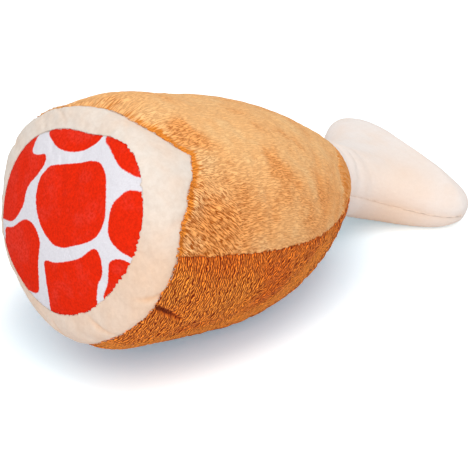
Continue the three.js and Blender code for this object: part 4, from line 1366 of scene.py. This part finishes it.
def blades(name, roots, normals, directions, lengths, widths, tones):
    """Tufts of pile: each is a blade of three sides that leans from the normal over to its direction and tapers to a
    point. Rings of corners stand at shares 0, 1/3 and 2/3 of its length."""
    across = unit(np.cross(normals, directions))
    co = []
    for share in (0.0, 1 / 3, 2 / 3):
        lean = share**1.3
        bend = directions * (0.35 + 0.65 * lean) + normals * (0.55 - 0.45 * lean)
        half = (widths * (1 - share * 0.75))[:, None]
        for turn in (0.0, 2 * np.pi / 3, 4 * np.pi / 3):
            corner = math.cos(turn) * across + math.sin(turn) * normals * 0.6
            co.append(roots + (lengths * share)[:, None] * bend + half * corner)
    co.append(roots + lengths[:, None] * (directions + normals * 0.1))
    corners = len(co)
    base = np.arange(len(roots))[:, None, None] * corners
    sides = [[first + c, first + (c + 1) % 3, first + 3 + (c + 1) % 3, first + 3 + c]
             for first, c in product((0, 3), range(3))]
    quads = (base + np.array(sides)).reshape(-1, 4)
    triangles = (base + np.array([[6, 7, 9], [7, 8, 9], [8, 6, 9], [2, 1, 0]])).reshape(-1, 3)
    pile = tones[:, None] + np.repeat(BLADE_TONES, (3, 3, 3, 1))
    return mesh_object(name, np.stack(co, 1).reshape(-1, 3), quads, triangles, {"pile": np.clip(pile.ravel(), 0, 1)})


def seam_tufts(name, upper, seed):
    """Pile that leans out over the ring from a panel's edge, and over the panel seam where the panel is the upper."""
    look, ham = settings().look, settings().ham
    shuffle = np.random.default_rng(seed)
    count = int(2 * np.pi * ham.fullest_radius / look.tuft_spacing * 1.2)
    first, last = panel_ends(ham.seam_angle_face, upper)
    angle = first + (last - first) * shuffle.random(count // 2)
    share = shuffle.random(count // 2) * 0.016
    normal, along, around = outward("body", share, angle)
    lean = unit(-along + around * (shuffle.random(len(angle))[:, None] - 0.5) * 1.4)
    sets = [(filled("body", share, angle) - normal * ROOT_DEPTH, normal, lean)]
    if upper:
        steps = shuffle.random(int(2 * ham.length / look.tuft_spacing))
        for way, share in ((-1.0, steps[::-1]), (1.0, steps)):
            angle = side_seam(share) if way < 0 else np.pi - side_seam(share)
            normal, along, around = outward("body", share, angle)
            lean = unit(around * way + along * (shuffle.random(len(share))[:, None] * 0.9))
            sets.append((filled("body", share, angle) - normal * SIDE_ROOT_DEPTH, normal, lean))
    roots, normal, lean = (np.concatenate(part) for part in zip(*sets))
    lengths = look.tuft_length * (0.3 + 0.5 * shuffle.random(len(roots)))
    lengths = lengths * (0.5 + 1.2 * noise(roots, TUFT_PATCH, 33))
    lengths[len(sets[0][0]):] *= SIDE_TUFT_SHARE
    widths = TUFT_HALF_WIDTH + 0.00014 * shuffle.random(len(roots))
    return blades(name, roots, normal, lean, lengths, widths, 0.35 + 0.5 * shuffle.random(len(roots)))


def ring_tufts(name, seed):
    """Cream pile that leans out over the printed disc from the ring's inner edge and over the body from its outer."""
    look, ham = settings().look, settings().ham
    shuffle = np.random.default_rng(seed)
    sets = []
    for edge, way in ((0.0, -1.0), (1.0, 1.0)):
        angle = 2 * np.pi * shuffle.random(int(2 * np.pi * ham.fullest_radius / look.tuft_spacing))
        share = np.abs(edge - 0.03 * shuffle.random(len(angle)))
        normal, along, around = outward("ring", share, angle)
        lean = unit(along * way + around * (shuffle.random(len(angle))[:, None] - 0.5) * 1.2)
        sets.append((filled("ring", share, angle) - normal * CREAM_ROOT_DEPTH, normal, lean))
    roots, normal, lean = (np.concatenate(part) for part in zip(*sets))
    lengths = 0.6 * look.tuft_length * (0.3 + 0.7 * shuffle.random(len(roots)))
    lengths = lengths * (0.4 + 1.2 * noise(roots, TUFT_PATCH, 35))
    widths = TUFT_HALF_WIDTH + 0.00012 * shuffle.random(len(roots))
    return blades(name, roots, normal, lean, lengths, widths, 0.5 + 0.4 * shuffle.random(len(roots)))


class HAMTOY_OT_seam_pile(bpy.types.Operator):
    """Tufts of pile that stand out of the body's seams"""

    bl_idname = "ham_toy.seam_pile"
    bl_label = "Seam pile"

    def execute(self, context):
        tan = tuft_material("turned tan pile", *colours("tan_edge", "tan_root"))
        brown = tuft_material("turned brown pile", *colours("brown_tip", "brown_root"))
        cream = tuft_material("turned cream pile", *colours("cream", "cream_shade_and_warmth"))
        finished(seam_tufts("tan_seam_pile", True, 5), tan, "ham")
        finished(seam_tufts("brown_seam_pile", False, 6), brown, "ham")
        finished(ring_tufts("cream_seam_pile", 8), cream, "ham")
        return {"FINISHED"}


# Bone

# The ball root's mesh starts at this angle, and the rows of the covers reach these stations at these shares
ROOT_START = math.radians(25)
ROW_SHARES, ROW_STATIONS = (0, 0.16, 0.72, 1), (0.25, 1, 2, 3)

# A cover's length over the bone and its width round it, and its mesh's step over the ham's
BONE_COVER = (0.125, 0.11)
BONE_STEP = 1.3

# Soft ridges by the mouth: height, where they are strongest, spread and spacing
RIDGES = (0.0006, 0.018, 0.013, 0.0125)


def bone_axes():
    """The bone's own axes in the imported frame: along points down until the lower lobe is pressed on the floor, across
    is level and then rolled about along, and up is across times along."""
    bone = settings().bone
    turn = np.linspace(0, np.pi, LOBE_STATIONS)
    drops = ((bone.lobe_spread + bone.lobe_radius) * np.cos(turn) * math.sin(bone.roll)
             + bone.thickness / 2 * np.sin(turn) ** bone.pillow_power * math.cos(bone.roll))
    mouth = np.array(NECK["pos_m"])
    tilt = math.asin((mouth[2] - (drops.max() - bone.lobe_bedding)) / bone.lobe_reach)
    along = np.array([math.cos(bone.side_angle), math.sin(bone.side_angle), -math.tan(tilt)]) * math.cos(tilt)
    level = unit(np.cross(along, np.array([0.0, 0.0, 1.0])))
    across = math.cos(bone.roll) * level + math.sin(bone.roll) * np.cross(along, level)
    return mouth, along, across, np.cross(across, along)


def fuller(height, power):
    """A height to a power, with its sign kept."""
    return np.sign(height) * np.abs(height) ** power


def bone_local(station, angle, depth):
    """A place of the bone in its own axes. The station runs 0 to 1 over the ball root, 1 to 2 down the neck, which
    widens by a power of its share, and 2 to 3 round the lobes, whose far edge has a bell-shaped notch."""
    bone = settings().bone
    ball, neck, lobe = np.clip(station, 0, 1), np.clip(station - 1, 0, 1), np.clip(station - 2, 0, 1)
    turn = ROOT_START + (bone.ball_end - ROOT_START) * ball
    neck_start, neck_half = -bone.ball_radius * math.cos(bone.ball_end), bone.ball_radius * math.sin(bone.ball_end)
    half = bone.lobe_spread + bone.lobe_radius
    cos, sin = np.cos(angle), np.sin(angle)
    radius = bone.ball_radius - depth
    in_ball = np.stack([-radius * np.cos(turn), radius * np.sin(turn) * cos, radius * np.sin(turn) * sin], -1)
    swell, thin = smooth(neck) ** 2, rise(neck, 0, 0.9)
    wide = neck_half + (half - neck_half) * swell - depth
    thick = neck_half + (bone.thickness / 2 - neck_half) * thin - depth
    tall = thick * fuller(sin, 1 + (bone.pillow_power - 1) * thin) - bone.neck_sag * np.sin(np.pi * neck)
    in_neck = np.stack([neck_start + (bone.lobe_reach - neck_start) * neck, wide * cos, tall], -1)
    place = (half - depth) * cos
    past = np.clip((np.abs(place) - bone.lobe_spread) / (bone.lobe_radius - depth), 0, 1)
    end = (bone.lobe_radius - depth) * np.sqrt(1 - past**2) - bone.notch_depth * hump(place, bone.notch_width)
    quarter = lobe * np.pi / 2
    in_lobe = np.stack([bone.lobe_reach + end * np.sin(quarter), place,
                        (bone.thickness / 2 - depth) * fuller(np.cos(quarter) * sin, bone.pillow_power)], -1)
    return np.where((station <= 1)[..., None], in_ball, np.where((station <= 2)[..., None], in_neck, in_lobe))


def bone_surface(station, angle, depth):
    """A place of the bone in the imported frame, pressed where the lower lobe meets the floor."""
    ham = settings().ham
    mouth, along, across, up = bone_axes()
    depth = np.broadcast_to(np.asarray(depth, float), station.shape)
    local = bone_local(station, angle, depth)
    points = mouth + local[..., :1] * along + local[..., 1:2] * across + local[..., 2:] * up
    return pressed(points, ham.flat_cut, depth)


def bone_cover(name, upper):
    """One half of the bone's plush: stations by half turns, sunk at its side seam, with soft ridges by the mouth, a
    sine along the bone under a bell. It has painted warm shade low down and by its seam, and is warmer in a patch on
    the camera's side."""
    look, bone = settings().look, settings().bone
    (rows, rows_down), (columns, columns_down) = (
        edged(int(size / (look.cell_size * BONE_STEP)), BACKING_STEP) for size in BONE_COVER)
    first = 0.0 if upper else np.pi
    station, angle = np.meshgrid(np.interp(rows, ROW_SHARES, ROW_STATIONS), first + columns * np.pi, indexing="ij")
    down = np.maximum(rows_down[:, None], columns_down[None, :])
    form = bone_surface(station, angle, 0.0)
    mouth, along, across, up = bone_axes()
    normal = grid_normals(form, False)[0]
    centre = mouth + ((form - mouth) @ along)[..., None] * along
    middle = centre + ((form - centre) @ across)[..., None] * across * 0.85
    normal = normal * np.sign(np.einsum("...k,...k->...", normal, form - middle))[..., None]
    reach = (form - mouth) @ along
    past = np.mod(angle, np.pi)
    by_seam = fading(np.minimum(past, np.pi - past) * bone.thickness / 2, 0.0014)
    tall, strongest, spread, spacing = RIDGES
    turns = reach / spacing + 0.5 * noise(form, 0.02, 51)
    relief = tall * hump(reach - strongest, spread) * np.sin(2 * np.pi * turns)
    relief = relief + uneven(form, 0.016, 0.0012, 52) + uneven(form, 0.0010, 0.0002, 53)
    sunk = 0.0004 * by_seam + down * bone.cover * TURN_SHARE
    points = form + normal * (relief * (down == 0) - sunk)[..., None]
    points[..., 2] = np.maximum(points[..., 2], 0)
    backing = bone_surface(station, angle, bone.cover)
    sideways = (form - mouth) @ across
    # Painted warm shade low down and by the seam, and a warmer patch on the camera's side
    low = fall((form - mouth) @ up, 0.006, 0.02) * rise(reach, 0.02, 0.03)
    warm_patch = hump(reach - 0.050, 0.026) * hump(sideways - 0.026, 0.022)
    values = {"crease": np.clip(0.35 * low + 0.6 * warm_patch + 0.25 * by_seam, 0, 1)}
    return closed_cover(name, points, backing, BACKING_STEP, "open", values)


class HAMTOY_OT_bone(bpy.types.Operator):
    """Upper and lower plush covers of the bone, which comes out of the ham's mouth"""

    bl_idname = "ham_toy.bone"
    bl_label = "Bone"

    def execute(self, context):
        plush = cream_material("bone short plush", *colours("bone", "bone_blush_and_shade"), 0.3)
        for name, upper, node in (("bone_top_plush", True, "bone_upper_cover"),
                                  ("bone_under_plush", False, "bone_lower_cover")):
            piece = finished(bone_cover(name, upper), plush, nodes=[node])
            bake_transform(piece)
        return {"FINISHED"}


def copied_node(name, node):
    """A merged copy of a CAD node's mesh, with smooth walls and sharp rims."""
    source = frame["nodes"][node].data
    source.calc_loop_triangles()
    co = np.empty(3 * len(source.vertices), np.float32)
    source.vertices.foreach_get("co", co)
    corners = np.empty(3 * len(source.loop_triangles), np.int32)
    source.loop_triangles.foreach_get("vertices", corners)
    places, number = np.unique(np.round(co.reshape(-1, 3), 6), axis=0, return_inverse=True)
    made = mesh_object(name, places, [], number.ravel()[corners].reshape(-1, 3))
    made.data.set_sharp_from_angle(angle=SHARP_RIM)
    return made


class HAMTOY_OT_inner_parts(bpy.types.Operator):
    """Materials of the fibre and of the squeaker inside, and a copy of the bladder with smooth walls and sharp rims"""

    bl_idname = "ham_toy.inner_parts"
    bl_label = "Inner parts"

    def execute(self, context):
        fibre = fibre_material("polyester fibre", *colours("fibre"))
        finishes = {
            "fill_lower_wad": fibre, "fill_upper_wad": fibre, "bone_fill": fibre,
            "squeaker_plug": plastic_material("moulded plug plastic", srgb(217, 221, 226), 0.4),
            "squeaker_reed": plastic_material("reed plastic", srgb(60, 64, 70), 0.3),
        }
        for node, material in finishes.items():
            slots = frame["nodes"][node].material_slots
            if not slots:
                frame["nodes"][node].data.materials.append(material)
            for held in slots:
                held.material = material
        blown = plastic_material("blown bladder plastic", srgb(242, 240, 234), 0.35)
        bladder = finished(copied_node("blown_bladder", "squeaker_bladder"), blown, "ham",
                           ["squeaker_bladder"])
        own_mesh(bladder)
        return {"FINISHED"}


class HAMTOY_OT_stage(bpy.types.Operator):
    """Pale floor, soft studio light and the photograph's camera"""

    bl_idname = "ham_toy.stage"
    bl_label = "Stage"

    def execute(self, context):
        stage, scene = settings().stage, context.scene
        add_floor(stage)
        light_world(scene, stage.world_light)
        target = frame_shift() + np.array([stage.target_along, 0.0, stage.target_height])
        cos, sin = math.cos(stage.azimuth), math.sin(stage.azimuth)
        axes = np.array([[cos, sin, 0], [sin, -cos, 0], [0, 0, 1]])
        for name, power, (*place, width) in (("top_light", stage.top_power, TOP_LAMP),
                                             ("front_light", stage.front_power, FRONT_LAMP)):
            add_lamp(name, target + place @ axes, target, power, width)

        data = bpy.data.cameras.new("camera")
        camera = bpy.data.objects.new("camera", data)
        scene.collection.objects.link(camera)
        data.sensor_width = SENSOR_WIDTH
        data.lens = SENSOR_WIDTH * stage.focal_share
        data.clip_start, data.clip_end = 0.01, 20.0
        away = np.array([0, math.cos(stage.elevation), math.sin(stage.elevation)])
        camera.location = target + stage.distance * away @ axes
        point_at(camera, target)
        scene.camera = camera
        scene.view_settings.view_transform = "Standard"
        return {"FINISHED"}


def add_floor(stage):
    """A pale floor. The rays that show the background see it white, but for the toy's shadow: near the toy, inside an
    oval, it gives only a part of its light by itself, and further out more. This glow is painted light, and its
    bluish tint near the toy paints the shadow's tint."""
    corners = np.array([[-1, -1], [1, -1], [1, 1], [-1, 1]]) * FLOOR_HALF
    floor = mesh_object("floor", np.column_stack([corners, np.full(4, FLOOR_HEIGHT)]), [[0, 1, 2, 3]], [])
    made, nodes, shader = new_material("pale floor", 0.9, specular=0.0)
    nodes.feed(shader["Base Color"], stage.floor_colour)
    half = stage.shadow_reach * np.array([CAD_BOX[1][0], SHADOW_OVAL * CAD_BOX[1][1]])
    centre = np.array(SHADOW_CENTRE) / half
    oval = {0: nodes.add("ShaderNodeTexCoord", out="Object"), 1: (*(1 / half), 0), 2: (*-centre, 0)}
    far = nodes.add("ShaderNodeVectorMath", {0: nodes.add("ShaderNodeVectorMath", oval, operation="MULTIPLY_ADD")},
                    "Value", operation="LENGTH")
    glow = nodes.mix(nodes.ranged(far, *SHADOW_EDGE), GLOW_NEAR, GLOW_FAR)
    lit = nodes.add("ShaderNodeEmission", {"Color": glow, "Strength": 1.0})
    seen = nodes.add("ShaderNodeAddShader", {0: nodes.add("ShaderNodeBsdfDiffuse", {"Color": FLOOR_SEEN}), 1: lit})
    choice = {0: nodes.shown_white(), 1: made.node_tree.nodes["Principled BSDF"].outputs[0], 2: seen}
    nodes.feed(made.node_tree.nodes["Material Output"].inputs["Surface"], nodes.add("ShaderNodeMixShader", choice))
    floor.data.materials.append(made)


def light_world(scene, strength):
    """An even pale light, which the rays that show the background see as plain white."""
    scene.world = scene.world or bpy.data.worlds.new("World")
    scene.world.use_nodes = True
    nodes = Nodes(scene.world.node_tree)
    nodes.tree.nodes.clear()
    even = nodes.add("ShaderNodeBackground", {"Color": WORLD_TINT, "Strength": strength})
    white = nodes.add("ShaderNodeBackground", {"Color": (1, 1, 1), "Strength": 1.0})
    choice = nodes.add("ShaderNodeMixShader", {0: nodes.shown_white(), 1: even, 2: white})
    nodes.feed(nodes.tree.nodes.new("ShaderNodeOutputWorld").inputs["Surface"], choice)


def point_at(thing, target):
    """Turns a lamp or camera so that its -Z looks at the target, with +Y up."""
    thing.rotation_mode = "QUATERNION"
    thing.rotation_quaternion = (Vector(target) - thing.location).to_track_quat("-Z", "Y")


def add_lamp(name, place, target, power, size):
    data = bpy.data.lights.new(name, "AREA")
    data.energy, data.size, data.shape = power, size, "DISK"
    lamp = bpy.data.objects.new(name, data)
    bpy.context.scene.collection.objects.link(lamp)
    lamp.location = place
    point_at(lamp, target)


class ToySettings(bpy.types.PropertyGroup):
    """All the toy's settings."""

    ham: bpy.props.PointerProperty(type=HamSizes, name="Ham", description="Sizes of the ham")
    bone: bpy.props.PointerProperty(type=BoneSizes, name="Bone", description="Sizes of the bone")
    look: bpy.props.PointerProperty(type=PlushLook, name="Plush", description="Colours, pile and seams")
    stuffing: bpy.props.PointerProperty(type=StuffingSettings, name="Stuffing", description="How the fibre swells it")
    stage: bpy.props.PointerProperty(type=StageSettings, name="Stage", description="Camera and light")


STEPS = (HAMTOY_OT_printed_face, HAMTOY_OT_cream_ring, HAMTOY_OT_body_panels, HAMTOY_OT_seam_pile, HAMTOY_OT_bone,
         HAMTOY_OT_inner_parts, HAMTOY_OT_stage)


class HAMTOY_PT_panel(bpy.types.Panel):
    """Lists the toy's steps and settings"""

    bl_idname = "HAMTOY_PT_panel"
    bl_label = "Ham toy"
    bl_space_type = "VIEW_3D"
    bl_region_type = "UI"
    bl_category = "Ham Toy"

    def draw(self, context):
        for step in STEPS:
            self.layout.operator(step.bl_idname)
        toy = context.scene.ham_toy
        for group in (toy.ham, toy.bone, toy.look, toy.stuffing, toy.stage):
            box = self.layout.box()
            for key in group.__annotations__:
                box.prop(group, key)


CLASSES = (HamSizes, BoneSizes, PlushLook, StuffingSettings, StageSettings, ToySettings, *STEPS, HAMTOY_PT_panel)


def register():
    for cls in CLASSES:
        bpy.utils.register_class(cls)
    bpy.types.Scene.ham_toy = bpy.props.PointerProperty(type=ToySettings)


def unregister():
    del bpy.types.Scene.ham_toy
    for cls in reversed(CLASSES):
        bpy.utils.unregister_class(cls)


def main():
    register()
    for step in STEPS:
        group, name = step.bl_idname.split(".")
        getattr(getattr(bpy.ops, group), name)()


if __name__ == "__main__":
    main()
